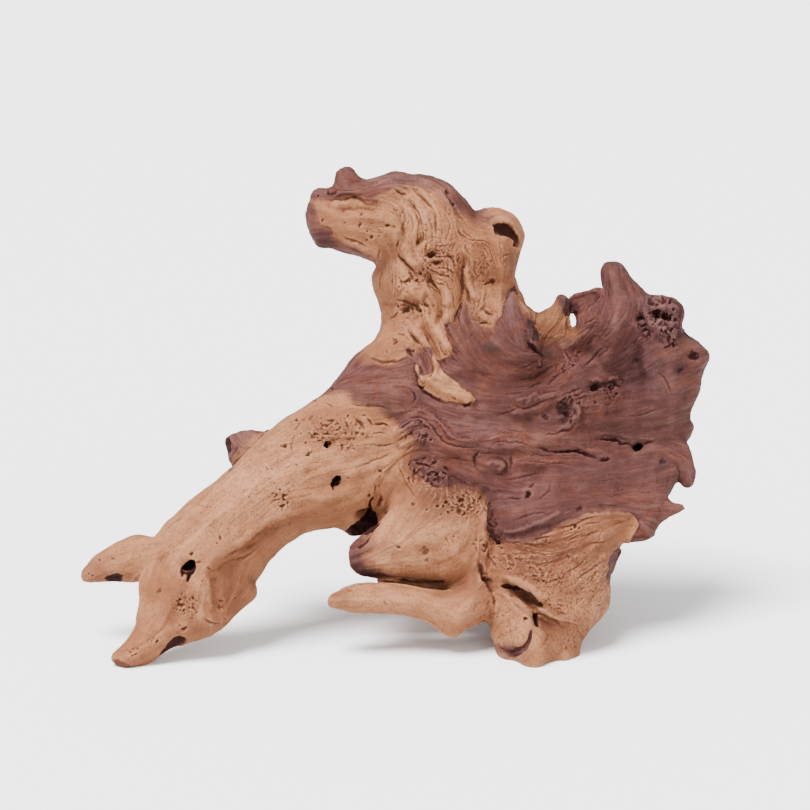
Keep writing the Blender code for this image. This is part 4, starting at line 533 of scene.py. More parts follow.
# Uneven noise: layers, each with its seed, strength and size in millimetres
NOISES = {
    "edges across": [(11, 0.35, 1.8), (12, 0.6, 6.0)],
    "edges up": [(21, 0.35, 1.8), (22, 0.6, 6.0)],
    "patches across": [(31, 2.5, 9.0), (33, 1.0, 3.5)],
    "patches up": [(32, 2.5, 9.0), (34, 1.0, 3.5)],
    "heartwood behind": [(41, 4.0, 14.0), (42, 1.6, 5.0)],
    "heartwood edge": [(43, 0.3, 2.4)],
    "soft edges": [(44, 1.0, 15.0)],
    "broken grooves": [(54, 1.0, 6.5)],
    "knobs": [(61, 1.0, 3.2)],
    "small knobs": [(62, 1.0, 1.6)],
    "worm holes": [(63, 0.8, 1.7)],
    "all over": [(64, 0.45, 12.0), (65, 0.2, 5.0)],
    "crack width": [(66, 0.35, 3.0)],
    "pit edges": [(67, 0.45, 1.3)],
    "tone": [(71, 0.6, 22.0), (72, 0.35, 7.0)],
    "stain": [(73, 0.9, 6.0)],
}

# Noise in the colours: size in metres, detail and roughness
COLOUR_NOISES = {
    "cloud": (0.011, 4.0, 0.6),
    "smoke": (0.023, 3.0, 0.5),
    "speck": (0.0009, 3.0, 0.7),
    "grit": (0.0012, 1.0, 0.5),
    "mottle": (0.0036, 4.0, 0.65),
}

# Seeds of the grain on the front, of the grain round the limbs, of the small pits and of the parting
FRONT_SEED = 5
LIMB_SEED = 5100
LIMB_SEED_STEP = 100
PIT_SEED = 7
PARTING_SEED = 3

# Lines that the grain follows where no crack or swell shows it
GRAIN_LINES = [
    [(-42, 228), (-30, 225), (-12, 224), (0, 222), (5, 216), (4, 208)],
    [(-38, 218), (-22, 218), (-12, 214), (-4, 208), (-3, 198), (-4, 186), (-2, 174)],
    [(-30, 246), (-26, 240), (-14, 240), (0, 244), (16, 243), (28, 237), (34, 229)],
    [(-4, 236), (6, 232), (10, 224), (9, 214), (12, 206)], [(22, 236), (26, 228), (27, 218), (26, 210)],
    [(32, 224), (40, 218), (50, 217), (56, 209), (56, 198), (54, 188)],
    [(40, 210), (42, 202), (44, 194), (44, 186), (40, 178)], [(50, 212), (52, 200), (52, 190), (50, 182)],
    [(12, 192), (13, 186), (18, 178), (18, 172), (24, 160)],
    [(28, 196), (30, 186), (28, 176), (32, 166), (38, 156), (46, 148)],
    [(-6, 178), (-3, 170), (-12, 162), (-24, 150), (-36, 138)],
    [(-34, 142), (-18, 146), (0, 148), (8, 150)],
    [(-30, 136), (-12, 138), (4, 136), (20, 130), (34, 126), (56, 122), (84, 114), (110, 111)],
    [(30, 150), (44, 146), (60, 144), (74, 150), (86, 158), (94, 168), (98, 180)],
    [(28, 138), (46, 134), (62, 132), (76, 136), (90, 142), (108, 150), (124, 160), (132, 170)],
    [(30, 118), (50, 118), (70, 116), (92, 116), (112, 118), (134, 122), (146, 126)],
    [(92, 128), (110, 130), (130, 136), (148, 142)], [(96, 146), (112, 150), (126, 158), (140, 164)],
    [(94, 158), (104, 168), (110, 182), (109, 200)], [(104, 160), (116, 172), (120, 184), (114, 196)],
    [(88, 166), (92, 176), (98, 184)],
    [(60, 104), (84, 104), (110, 106), (134, 108), (146, 100), (147, 92)],
    [(40, 100), (60, 92), (84, 92), (108, 94), (128, 96), (140, 100)],
    [(50, 82), (70, 84), (92, 86), (112, 86), (130, 86)],
    [(52, 72), (70, 76), (88, 82), (108, 83), (124, 80), (142, 80)], [(118, 74), (126, 70), (130, 66)],
    [(62, 168), (60, 176), (58, 186)], [(66, 160), (64, 168), (61, 178)],
    [(34, 176), (40, 164), (50, 154), (64, 149), (76, 152)], [(44, 172), (50, 162), (60, 156), (70, 155)],
    [(70, 160), (74, 168), (80, 174), (84, 184)],
    [(-6, 108), (-22, 106), (-40, 100), (-58, 90), (-78, 76), (-94, 62), (-106, 46)],
    [(-8, 116), (-28, 112), (-48, 110), (-64, 104), (-84, 88), (-104, 70), (-116, 56), (-120, 40),
     (-126, 20)],
    [(-38, 128), (-56, 118), (-72, 106), (-90, 88), (-108, 74)],
    [(-34, 86), (-52, 84), (-68, 72), (-80, 62), (-92, 56)],
    [(-30, 74), (-46, 70), (-60, 62), (-70, 50), (-74, 40), (-84, 30)],
    [(-98, 42), (-100, 32), (-106, 22), (-118, 14), (-136, 6)], [(-92, 44), (-92, 34), (-90, 26)],
    [(-82, 50), (-82, 40), (-84, 30)], [(-112, 60), (-126, 58), (-140, 54), (-154, 48)],
    [(-114, 34), (-118, 22), (-126, 12)], [(-80, 118), (-76, 112), (-66, 108)],
    [(6, 100), (0, 88), (-4, 76), (-8, 66), (-15, 58)], [(20, 90), (14, 80), (6, 70), (-4, 62), (-16, 56)],
    [(44, 90), (36, 78), (24, 68), (8, 61), (-6, 57), (-18, 54)],
    [(46, 80), (42, 66), (34, 54), (22, 49), (6, 48), (-12, 48)],
    [(-32, 34), (-12, 35), (8, 34), (24, 28), (36, 26), (46, 34)], [(24, 24), (30, 20), (38, 24), (46, 28)],
    [(30, 88), (38, 80), (42, 68), (44, 58), (42, 48)],
    [(50, 60), (64, 56), (80, 55), (94, 60), (108, 68), (118, 72)],
    [(50, 50), (62, 48), (76, 47), (90, 52), (104, 62)],
    [(54, 46), (66, 42), (76, 36), (88, 42), (102, 54)],
    [(60, 36), (68, 32), (80, 26), (92, 30), (104, 42)], [(54, 34), (58, 24), (60, 14), (66, 6)],
    [(72, 22), (78, 14), (88, 8)], [(84, 22), (88, 14), (90, 6)], [(96, 26), (98, 36), (104, 46)],
]

# The middles of the limbs: a mean radius, then points across, up and in depth
LIMB_LINES = [
    (28, [(-30, 105, 42), (0, 118, 50), (35, 110, 56), (62, 102, 58), (90, 102, 60), (116, 112, 64)]),
    (28, [(20, 110, 56), (18, 140, 54), (28, 170, 52), (24, 200, 47), (20, 225, 44), (12, 244, 42)]),
    (16, [(12, 224, 43), (-14, 225, 38), (-32, 226, 34), (-44, 225, 33)]),
    (14, [(46, 198, 50), (50, 212, 47), (49, 226, 46)]),
    (22, [(0, 116, 47), (-35, 102, 38), (-53, 94, 34), (-70, 80, 28), (-92, 56, 17), (-112, 33, 11),
          (-137, 2, 4)]),
    (10, [(-108, 57, 18), (-130, 55, 26), (-151, 49, 33), (-157, 45, 35)]),
    (9, [(-54, 109, 46), (-72, 109, 53), (-84, 112, 58)]),
    (16, [(47, 66, 40), (26, 68, 34), (9, 68, 28), (-14, 57, 23), (-23, 55, 22)]),
    (9, [(47, 40, 27), (28, 27, 18), (5, 33, 15), (-20, 34, 13), (-33, 33, 13)]),
    (24, [(76, 112, 58), (78, 84, 48), (78, 60, 34), (78, 42, 30), (72, 18, 27), (72, 0, 20)]),
    (16, [(110, 64, 45), (112, 100, 59), (116, 130, 66), (114, 160, 60), (112, 182, 54), (108, 202, 47)]),
    (15, [(56, 92, 80), (58, 66, 91), (61, 46, 101), (63, 24, 110)]),
    (9, [(14, 124, 88), (7, 137, 100), (0, 150, 110)]),
    (6, [(52, 120, 60), (55, 147, 39), (61, 170, 29), (59, 188, 27)]),
]


def read_rows(items, name, width, kind=float):
    """A row of values for each of a mesh's items."""
    values = np.empty(len(items) * width, kind)
    items.foreach_get(name, values)
    return values.reshape(-1, width)


def seen(across, up, depth):
    """A place in the front view, in millimetres, as a point in the part's frame, in metres."""
    grow = 1.0 + depth / EYE_DISTANCE
    u = AXIS_ACROSS + (across - AXIS_ACROSS) * grow
    v = AXIS_UP + (up - AXIS_UP) * grow
    back = v * math.sin(VIEW_TILT) + depth * math.cos(VIEW_TILT)
    high = v * math.cos(VIEW_TILT) - depth * math.sin(VIEW_TILT)
    return Vector((u - MIDDLE_ACROSS, back - MIDDLE_BACK, high)) * MM


def seen_from_front(points):
    """Points in metres as across, up and depth in the front view, in millimetres."""
    u = points[:, 0] / MM + MIDDLE_ACROSS
    back = points[:, 1] / MM + MIDDLE_BACK
    high = points[:, 2] / MM
    depth = back * math.cos(VIEW_TILT) - high * math.sin(VIEW_TILT)
    v = back * math.sin(VIEW_TILT) + high * math.cos(VIEW_TILT)
    grow = 1.0 + depth / EYE_DISTANCE
    return np.column_stack((AXIS_ACROSS + (u - AXIS_ACROSS) / grow, AXIS_UP + (v - AXIS_UP) / grow, depth))


def smooth_step(low, high, value):
    """0 below low, 1 above high, and a smooth climb between them."""
    t = np.clip((value - low) / (high - low), 0.0, 1.0)
    return t * t * (3.0 - 2.0 * t)


def bell(away, width):
    """1 in the middle, falling to about a third at a width from it."""
    return np.exp(-((away / width) ** 2))


def at_least(least, share):
    """A share from 0 to 1, lifted so that it starts at its least value."""
    return least + (1 - least) * share


def rounded(line, steps=3):
    """A Catmull-Rom curve through the points of a line."""
    line = np.array(line, float)
    before = np.vstack((2 * line[0] - line[1], line[:-1]))
    after = np.vstack((line[1:], 2 * line[-1] - line[-2]))
    found = []
    for i in range(len(line) - 1):
        p0, p1, p2, p3 = before[i], line[i], line[i + 1], after[i + 1]
        for k in range(steps):
            t = k / steps
            bend = (2 * p0 - 5 * p1 + 4 * p2 - p3) * t**2 + (3 * p1 - p0 - 3 * p2 + p3) * t**3
            found.append(0.5 * (2 * p1 + (p2 - p0) * t + bend))
    found.append(line[-1])
    return np.array(found)


def lattice_noise(points, spacing, seed):
    """Smooth gradient noise, mostly between -1 and 1, at points in millimetres."""
    middle, count, spread = 512.0, 64, 1.7
    primes = (73856093, 19349663, 83492791)
    mixer = 2246822519
    place = np.asarray(points, np.float32) / spacing + middle
    cell = np.floor(place).astype(np.int64)
    part = (place - cell).astype(np.float32)
    fade = part**3 * (part * (part * 6 - 15) + 10)
    directions = np.random.default_rng(seed).standard_normal((count, points.shape[1]))
    directions = (directions / np.linalg.norm(directions, axis=1)[:, None]).astype(np.float32)
    total = np.zeros(len(points), np.float32)
    for corner in np.ndindex(*(2,) * points.shape[1]):
        key = np.full(len(points), seed, np.int64)
        weight = np.ones(len(points), np.float32)
        for axis, step in enumerate(corner):
            key ^= (cell[:, axis] + step) * primes[axis]
            weight *= fade[:, axis] if step else 1 - fade[:, axis]
        key ^= key >> 15
        towards = directions[(key * mixer >> 7) % count]
        total += weight * ((part - np.array(corner, np.float32)) * towards).sum(axis=1)
    return total * spread


class Plane:
    """The picture plane as a grid of cells, in front-view millimetres."""

    LOW = (-172.0, -14.0)
    SPAN = (348.0, 276.0)
    RIM = 1.001

    def __init__(self, step):
        self.step = step
        self.shape = (int(self.SPAN[1] / step), int(self.SPAN[0] / step))

    def cells(self):
        rows, columns = np.indices(self.shape)
        across = columns.ravel() * self.step + self.LOW[0]
        return np.column_stack((across, rows.ravel() * self.step + self.LOW[1]))

    def cell_of(self, places):
        x = ((places[:, 0] - self.LOW[0]) / self.step).astype(int).clip(0, self.shape[1] - 1)
        y = ((places[:, 1] - self.LOW[1]) / self.step).astype(int).clip(0, self.shape[0] - 1)
        return x, y

    def read(self, grid, places):
        """The grid's values at places, between its cells."""
        x = np.clip((places[:, 0] - self.LOW[0]) / self.step, 0, self.shape[1] - self.RIM)
        y = np.clip((places[:, 1] - self.LOW[1]) / self.step, 0, self.shape[0] - self.RIM)
        i, j = x.astype(int), y.astype(int)
        s, t = x - i, y - j
        near = grid[j, i] * (1 - s) + grid[j, i + 1] * s
        far = grid[j + 1, i] * (1 - s) + grid[j + 1, i + 1] * s
        return near * (1 - t) + far * t


class FrontGrain(Plane):
    """The way of the grain over the front, drawn from the lines that it follows."""

    CELL = 0.3
    LINE_STEPS = 24
    PULL = 3.0
    STRIDE = 0.8

    def __init__(self, lines, seed):
        super().__init__(self.CELL)
        self.rng = np.random.default_rng(seed)
        turns = np.zeros((2, *self.shape), np.float32)
        for line in lines:
            path = rounded(line, self.LINE_STEPS)
            way = np.diff(path, axis=0)
            angle = 2 * np.arctan2(way[:, 1], way[:, 0])
            length = np.hypot(way[:, 0], way[:, 1])
            x, y = self.cell_of((path[:-1] + path[1:]) / 2)
            np.add.at(turns[0], (y, x), np.cos(angle) * length)
            np.add.at(turns[1], (y, x), np.sin(angle) * length)
        rows, columns = np.indices(self.shape, np.float32)
        far_x = np.minimum(columns, self.shape[1] - columns) * self.step
        far_y = np.minimum(rows, self.shape[0] - rows) * self.step
        pull = 1.0 / (far_x**2 + far_y**2 + self.PULL**2) ** 2
        spread = np.fft.rfft2(pull)
        cosine, sine = (np.fft.irfft2(np.fft.rfft2(t) * spread, t.shape) for t in turns)
        angle = np.arctan2(sine, cosine) / 2
        self.way = np.stack((np.cos(angle), np.sin(angle))).astype(np.float32)

    def strands(self, width, length):
        """Noise drawn out along the grain: strands of a width and a length in millimetres, of unit spread."""
        high, wide = self.shape
        rough = self.rng.standard_normal(self.shape).astype(np.float32)
        waves_y = np.fft.fftfreq(high, self.step)[:, None]
        waves_x = np.fft.rfftfreq(wide, self.step)[None, :]
        soft = np.exp(-((waves_x**2 + waves_y**2) * (math.pi * width / 2) ** 2))
        rough = np.fft.irfft2(np.fft.rfft2(rough) * soft, self.shape).astype(np.float32).ravel()
        stride = max(1.0, width / self.step * self.STRIDE)
        steps = int(length / 2 / (stride * self.step))
        total = rough.copy()
        way_x, way_y = self.way[0].ravel(), self.way[1].ravel()
        rows, columns = np.indices(self.shape, np.float32)
        for sign in (1.0, -1.0):
            x, y = columns.ravel(), rows.ravel()
            dx, dy = way_x * sign, way_y * sign
            for _ in range(steps):
                x = np.clip(x + dx * stride, 0, wide - 1)
                y = np.clip(y + dy * stride, 0, high - 1)
                spot = (y + 0.5).astype(np.int32) * wide + (x + 0.5).astype(np.int32)
                spot = spot.clip(0, total.size - 1)
                total += rough[spot]
                next_x, next_y = way_x[spot], way_y[spot]
                flip = np.where(next_x * dx + next_y * dy < 0, -1.0, 1.0).astype(np.float32)
                dx, dy = next_x * flip, next_y * flip
        total -= total.mean()
        return (total / total.std()).reshape(self.shape)


class LimbGrain:
    """The way of the grain round the limbs, for the sides and the back."""

    BLEND = 0.15
    LEAST_SHARE = 0.03
    SLANT = (0.3, 0.2, 1.0)
    NOISE_SIZE = 1.6
    SEED_STEP = 31
    SPREAD = 3.0

    def __init__(self, points):
        self.count = len(points)
        points = (points / MM).astype(np.float32)
        scores, found = [], []
        for radius, line in LIMB_LINES:
            path = rounded([np.array(seen(*spot)) / MM for spot in line], 2).astype(np.float32)
            score, places = self.along(points, path)
            scores.append(score / radius)
            found.append(places)
        best = np.min(scores, axis=0)
        shares = [np.exp((best - score) / self.BLEND) for score in scores]
        total = np.sum(shares, axis=0)
        self.limbs = []
        for share, places in zip(shares, found):
            share = share / total
            near = np.flatnonzero(share > self.LEAST_SHARE)
            self.limbs.append((near, share[near], places[near]))

    def along(self, points, path):
        """Distance from a limb's middle, and places across it twice and along it."""
        ways = np.diff(path, axis=0)
        lengths = np.linalg.norm(ways, axis=1)
        starts = np.concatenate(([0.0], np.cumsum(lengths)))
        side = np.cross(ways[0], self.SLANT)
        best = np.full(len(points), np.inf, np.float32)
        places = np.zeros((len(points), 3), np.float32)
        for i, (way, length) in enumerate(zip(ways, lengths)):
            way = way / length
            side = side - way * (side @ way)
            side = side / np.linalg.norm(side)
            other = np.cross(way, side)
            off = points - path[i]
            run = np.clip(off @ way, 0, length)
            off -= run[:, None] * way
            away = np.linalg.norm(off, axis=1)
            nearer = away < best
            best[nearer] = away[nearer]
            here = np.column_stack((off @ side, off @ other, run + starts[i]))
            places[nearer] = here[nearer]
        return best, places

    def strands(self, width, length, seed):
        """Noise drawn out along the limbs, blended where limbs meet."""
        total = np.zeros(self.count)
        power = np.zeros(self.count)
        for k, (near, share, places) in enumerate(self.limbs):
            drawn = places * np.array((1, 1, width / length), np.float32)
            noise = lattice_noise(drawn, width * self.NOISE_SIZE, seed + self.SEED_STEP * k)
            total[near] += share * noise
            power[near] += share**2
        return total / np.sqrt(power) * self.SPREAD


class Skin:
    """The points of the fine surface, with what is near them."""

    SMOOTH, SWELL_BACK = 0.5, -0.52
    GAP_EDGE = 0.5
    VIEW_LOW = (-200, -40)
    VIEW_SHAPE = (340, 400)
    FACING = (0.02, 0.3)
    WALL_FACING = (-0.5, -0.1)
    WALL_DEPTH = 35

    def __init__(self, thing):
        self.thing = thing
        self.points = read_rows(thing.data.vertices, "co", 3)
        self.edges = read_rows(thing.data.edges, "vertices", 2, np.int32)
        self.degree = np.bincount(self.edges.ravel(), minlength=len(self.points)).clip(1)
        self.read_normals()

    def read_normals(self):
        self.normals = read_rows(self.thing.data.vertices, "normal", 3)

    def write(self):
        self.thing.data.vertices.foreach_set("co", self.points.ravel())
        self.thing.data.update()
        self.read_normals()

    def averaged(self, values, passes=1, share=0.5):
        """Values drawn towards those of their neighbours."""
        a, b = self.edges.T
        count = len(self.points)
        values = values.astype(float)
        for _ in range(passes):
            columns = values if values.ndim == 2 else values[:, None]
            sums = [
                np.bincount(a, weights=c[b], minlength=count) + np.bincount(b, weights=c[a], minlength=count)
                for c in columns.T
            ]
            mean = np.column_stack(sums) / self.degree[:, None]
            values = values + share * (mean.reshape(values.shape) - values)
        return values

    def fair(self, passes):
        """Takes facets off without shrinking the form."""
        for _ in range(passes):
            self.points = self.averaged(self.points, 1, self.SMOOTH)
            self.points = self.averaged(self.points, 1, self.SWELL_BACK)
        self.write()

    def widen_gaps(self):
        """Draws the walls of the gaps back, so that they stay open."""
        places = seen_from_front(self.points)[:, :2]
        for reach, outline in GAPS:
            inside = smooth_step(-self.GAP_EDGE, self.GAP_EDGE, depth_inside(places, outline))
            self.points -= self.normals * (reach * inside * MM)[:, None]
        self.write()

    def look_from_front(self, spread):
        """How far each point shows from the front, from 0 to 1, and its place in the front view.

        What lies up to spread millimetres behind the first surface counts as shown.
        """
        self.front_places = seen_from_front(self.points)
        eye = np.array(seen(AXIS_ACROSS, AXIS_UP, -EYE_DISTANCE))
        sight = eye - self.points
        sight /= np.linalg.norm(sight, axis=1)[:, None]
        facing = (self.normals * sight).sum(axis=1)
        column, row = (self.front_places[:, :2] - self.VIEW_LOW).astype(int).T
        first = np.full(self.VIEW_SHAPE, np.inf)
        np.minimum.at(first, (row, column), self.front_places[:, 2])
        behind = self.front_places[:, 2] - first[row, column]
        self.front = self.averaged(smooth_step(*self.FACING, facing) * (behind < spread), 2)
        self.walls = self.averaged(smooth_step(*self.WALL_FACING, facing) * (behind < self.WALL_DEPTH), 2)


def deselect_all():
    bpy.ops.object.select_all(action="DESELECT")


def take_up(thing):
    deselect_all()
    thing.select_set(True)
    bpy.context.view_layer.objects.active = thing


def even_skin(thing, voxel):
    """Lays one closed skin of even cells over a thing."""
    skin = thing.modifiers.new("skin", "REMESH")
    skin.mode = "VOXEL"
    skin.voxel_size = voxel
    take_up(thing)
    bpy.ops.object.modifier_apply(modifier=skin.name)


def swelled_copy(name, swell):
    """A node's shape as one closed skin, a little swelled so that it meets its neighbours."""
    copy = bpy.data.objects.new(name + "_copy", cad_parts[name].data.copy())
    bpy.context.scene.collection.objects.link(copy)
    take_up(copy)
    bpy.ops.object.mode_set(mode="EDIT")
    bpy.ops.mesh.select_all(action="SELECT")
    bpy.ops.mesh.remove_doubles(threshold=SAME_PLACE)
    bpy.ops.transform.shrink_fatten(value=swell)
    bpy.ops.object.mode_set(mode="OBJECT")
    return copy


def refine_front(wood, skin):
    """Divides the faces that show from the front once more."""
    spread, least = 6.0, 0.02
    skin.look_from_front(spread)
    shown = skin.front > least
    mesh = wood.data
    mesh.edges.foreach_set("select", shown[skin.edges].all(axis=1))
    shape = bmesh.new()
    shape.from_mesh(mesh)
    picked = [edge for edge in shape.edges if edge.select]
    bmesh.ops.subdivide_edges(shape, edges=picked, cuts=1, use_grid_fill=True)
    shape.to_mesh(mesh)
    shape.free()
    mesh.update()


def grown_together(sizes):
    """All nodes as one even skin, with their facets worn off."""
    copies = [swelled_copy(name, sizes.swell) for name in sorted(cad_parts)]
    deselect_all()
    for copy in copies:
        copy.select_set(True)
    bpy.context.view_layer.objects.active = copies[0]
    bpy.ops.object.join()
    wood = bpy.context.view_layer.objects.active
    wood.name = "wood"
    even_skin(wood, sizes.first_voxel)
    skin = Skin(wood)
    skin.widen_gaps()
    skin.fair(sizes.fairing)
    even_skin(wood, sizes.voxel)
    skin = Skin(wood)
    skin.fair(SECOND_FAIRING)
    refine_front(wood, skin)
    skin = Skin(wood)
    skin.fair(LAST_FAIRING)
    return skin


def depth_inside(places, outline):
    """How far each place lies inside an outline, in millimetres, and less than 0 outside it."""
    across, up = places.T
    corners = rounded(outline + outline[:1], 2)
    away = np.full(len(places), np.inf)
    inside = np.zeros(len(places), bool)
    for (x0, y0), (x1, y1) in zip(corners[:-1], corners[1:]):
        dx, dy = x1 - x0, y1 - y0
        run = np.clip(((across - x0) * dx + (up - y0) * dy) / (dx * dx + dy * dy), 0, 1)
        away = np.minimum(away, np.hypot(across - x0 - run * dx, up - y0 - run * dy))
        if dy:
            inside ^= ((y0 > up) != (y1 > up)) & (across < x0 + (up - y0) * dx / dy)
    return np.where(inside, away, -away)


def depth_in_outlines(plane, outlines):
    """How far each cell of a plane lies inside the nearest outline."""
    cells = plane.cells()
    return np.max([depth_inside(cells, outline) for outline in outlines], axis=0).reshape(plane.shape)


def near_line(places, line, reach):
    """The places within reach of a line: their numbers, distances from it and shares of the way along it."""
    path = rounded(line)
    low, high = path.min(axis=0) - reach, path.max(axis=0) + reach
    x, y = places.T
    near = np.flatnonzero((x > low[0]) & (x < high[0]) & (y > low[1]) & (y < high[1]))
    x, y = x[near], y[near]
    steps = np.diff(path, axis=0)
    lengths = np.hypot(steps[:, 0], steps[:, 1])
    whole = lengths.sum()
    before = 0.0
    away = np.full(len(near), np.inf)
    share = np.zeros(len(near))
    for (x0, y0), (dx, dy), length in zip(path[:-1], steps, lengths):
        run = np.clip(((x - x0) * dx + (y - y0) * dy) / length**2, 0, 1)
        off = np.hypot(x - x0 - run * dx, y - y0 - run * dy)
        nearer = off < away
        away[nearer] = off[nearer]
        share[nearer] = (before + run[nearer] * length) / whole
        before += length
    return near, away, share


def patch_strength(name, places):
    """How strongly the patches of a kind show at places, from 0 to 1."""
    flat, steep = 1.3, 0.7
    total = np.zeros(len(places))
    for strength, across, up, along, beside, *turn in PATCHES[name]:
        turn = math.radians(sum(turn))
        x, y = places[:, 0] - across, places[:, 1] - up
        a = (x * math.cos(turn) + y * math.sin(turn)) / along
        b = (y * math.cos(turn) - x * math.sin(turn)) / beside
        total = np.maximum(total, strength * np.exp(-((a**2 + b**2) ** flat) * steep))
    return total


class Carving:
    """What is carved into the skin and laid on it, point by point."""

    SEEN_WITHIN = 5.0
    LOWEST, HIGHEST = -4.5, 2.2

    def __init__(self, skin, sizes):
        self.skin = skin
        self.sizes = sizes
        skin.look_from_front(self.SEEN_WITHIN)
        self.front = skin.front
        self.points = skin.points / MM
        self.rise = np.zeros(len(self.points))
        self.cleft = np.zeros(len(self.points))
        self.masks = {}
        self.places = skin.front_places[:, :2] + self.drift("edges")
        self.lay_tones()
        self.draw_grain()
        self.lay_heartwood()
        self.raise_swells()
        self.cut_cracks()
        self.sink_hollows()
        self.sink_pits()
        self.roughen()

    def noise(self, name):
        layers = (strength * lattice_noise(self.points, size, seed) for seed, strength, size in NOISES[name])
        return sum(layers)

    def drift(self, name):
        """A wander across and up that keeps outlines from being smooth."""
        return np.column_stack((self.noise(name + " across"), self.noise(name + " up")))

    def mixed(self, name):
        return sum(share * self.strands[kind] for kind, share in MIXED_STRANDS[name].items())

    def darken(self, near, dark):
        """Marks points with painted shade, where they aren't shaded darker already."""
        self.cleft[near] = np.maximum(self.cleft[near], dark)

    def lay_tones(self):
        """The patches of tone and texture, with broken edges."""
        places = self.places + self.drift("patches")
        for name in PATCHES:
            self.masks[name] = patch_strength(name, places)

    def lay_heartwood(self):
        """Where the heartwood shows, and the edge of the sapwood that stands a little above it, with painted
        shade along the edge's foot.
        """
        cell, off_back = 1.0, 30
        hard_edge, soft_edge, blurred_edge = 0.5, 2.4, 4.2
        hard_streaks, soft_streaks, blurred_streaks = 0.25, 1.0, 1.2
        ledge_reach, seam_place, seam_width, seam_shade = 4.0, 0.3, 0.5, 0.4
        plane = Plane(cell)
        behind = 1 - self.front
        depth = plane.read(depth_in_outlines(plane, HEARTWOOD_PATCHES), self.places)
        over = plane.read(depth_in_outlines(plane, SAPWOOD_PATCHES), self.places)
        depth = np.minimum(depth, off_back * behind - over)
        depth += behind * self.noise("heartwood behind")
        depth += self.noise("heartwood edge")
        blurred = self.masks.pop("blurred")
        soft = np.maximum(smooth_step(-0.3, 0.4, self.noise("soft edges")), blurred)
        soft *= 1 - self.masks.pop("crisp")
        streaked = hard_streaks + soft_streaks * soft + blurred_streaks * blurred
        reach = hard_edge + soft_edge * soft + blurred_edge * blurred
        self.masks["heart"] = smooth_step(-reach, reach, depth + streaked * self.mixed("streaks"))
        edge = np.exp(-np.clip(-depth, 0, None) / ledge_reach) * smooth_step(0.5, -0.3, depth)
        crisp = 1 - 0.8 * soft
        self.rise += self.sizes.ledge / MM * edge * crisp
        self.darken(..., seam_shade * crisp * bell(depth - seam_place, seam_width))

    def draw_grain(self):
        """Strands along the grain, from fine to coarse, on the front and round the limbs."""
        lines = [line for _, half_width, line in HEAD_CRACKS if half_width < 1]
        lines += [line for _, _, line in SWELLS] + GRAIN_LINES * 3
        front_grain = FrontGrain(lines, FRONT_SEED)
        limb_grain = LimbGrain(self.skin.points)
        thinnest_round_limbs = 0.9
        places = self.skin.front_places[:, :2]
        shares = np.sqrt(self.front**2 + (1 - self.front) ** 2)
        self.strands = {}
        for number, (name, (width, length)) in enumerate(STRANDS.items()):
            ahead = front_grain.read(front_grain.strands(width, length), places)
            seed = LIMB_SEED + LIMB_SEED_STEP * number
            around = limb_grain.strands(max(width, thinnest_round_limbs), length, seed)
            self.strands[name] = (ahead * self.front + around * (1 - self.front)) / shares
        self.carve_grain()

    def carve_grain(self):
        """Grooves, ridges and folds along the strands, strongest where the wood is ridged, with painted shade
        in the coarse grooves.
        """
        wide, narrow, groove_shade = 0.45, 0.4, 0.15
        ridges, folds, grain = (size / MM for size in (self.sizes.ridges, self.sizes.folds, self.sizes.grain))
        fine, middle, coarse, broad = (self.strands[name] for name in ("fine", "middle", "coarse", "broad"))
        ridged = self.masks["ridged"]
        broken = smooth_step(-0.4, 0.4, self.noise("broken grooves"))
        groove = np.clip(1 - np.abs(coarse) / wide, 0, 1) ** 1.5 * at_least(0.35, broken)
        self.rise -= ridges * at_least(0.05, ridged) * groove
        self.rise += 0.35 * ridges * at_least(0.25, ridged) * coarse.clip(-1.5, 1.5)
        self.rise += folds * broad.clip(-1.6, 1.6)
        self.darken(..., groove_shade * groove * ridged)
        groove = np.clip(1 - np.abs(middle) / narrow, 0, 1) * broken
        self.rise -= grain * (0.12 + 1.2 * ridged) * groove
        self.rise += 0.4 * grain * fine.clip(-1.5, 1.5) * at_least(0.4, broken)

    def raise_swells(self):
        """Soft ridges and hollows along their lines, faded out at both ends."""
        end, steep = 0.2, 1.4
        for height, half_width, line in SWELLS:
            near, away, share = near_line(self.places, line, half_width * 2)
            taper = smooth_step(0, end, share) * smooth_step(0, end, 1 - share)
            shape = np.exp(-((away / half_width) ** 2) * steep) * taper * self.front[near]
            self.rise[near] += height * self.sizes.swell_share * shape

    def cut_cracks(self):
        """Cracks with slight lips, narrowed towards both ends and painted with shade inside, and the painted
        shadow along the edges under the wood.
        """
        end, end_depth, cut_share = 0.4, 0.15, 0.9
        lip_height, lip_place, full_dark = 0.04, 2.2, 3.3
        cut = np.zeros(len(self.rise))
        lips = np.zeros(len(self.rise))
        uneven = self.noise("crack width")
        for depth, half_width, line in HEAD_CRACKS + CRACKS:
            near, away, share = near_line(self.places, line, half_width * 5)
            taper = at_least(end_depth, smooth_step(0, end, share) * smooth_step(0, end, 1 - share))
            shape = bell(away, half_width * (0.55 + 0.4 * taper) * (1 + uneven[near])) * taper
            cut[near] = np.maximum(cut[near], cut_share * depth * shape)
            lip = lip_height * depth * taper * bell(away - lip_place * half_width, half_width)
            lips[near] = np.maximum(lips[near], lip)
            self.darken(near, min(1.0, depth / full_dark) * shape * self.front[near])
        for strength, half_width, line in SHADOW_LINES:
            near, away, _ = near_line(self.places, line, half_width * 3)
            self.darken(near, strength * bell(away, half_width) * self.front[near])
        self.rise += (lips - cut * self.sizes.crack_share) * self.front

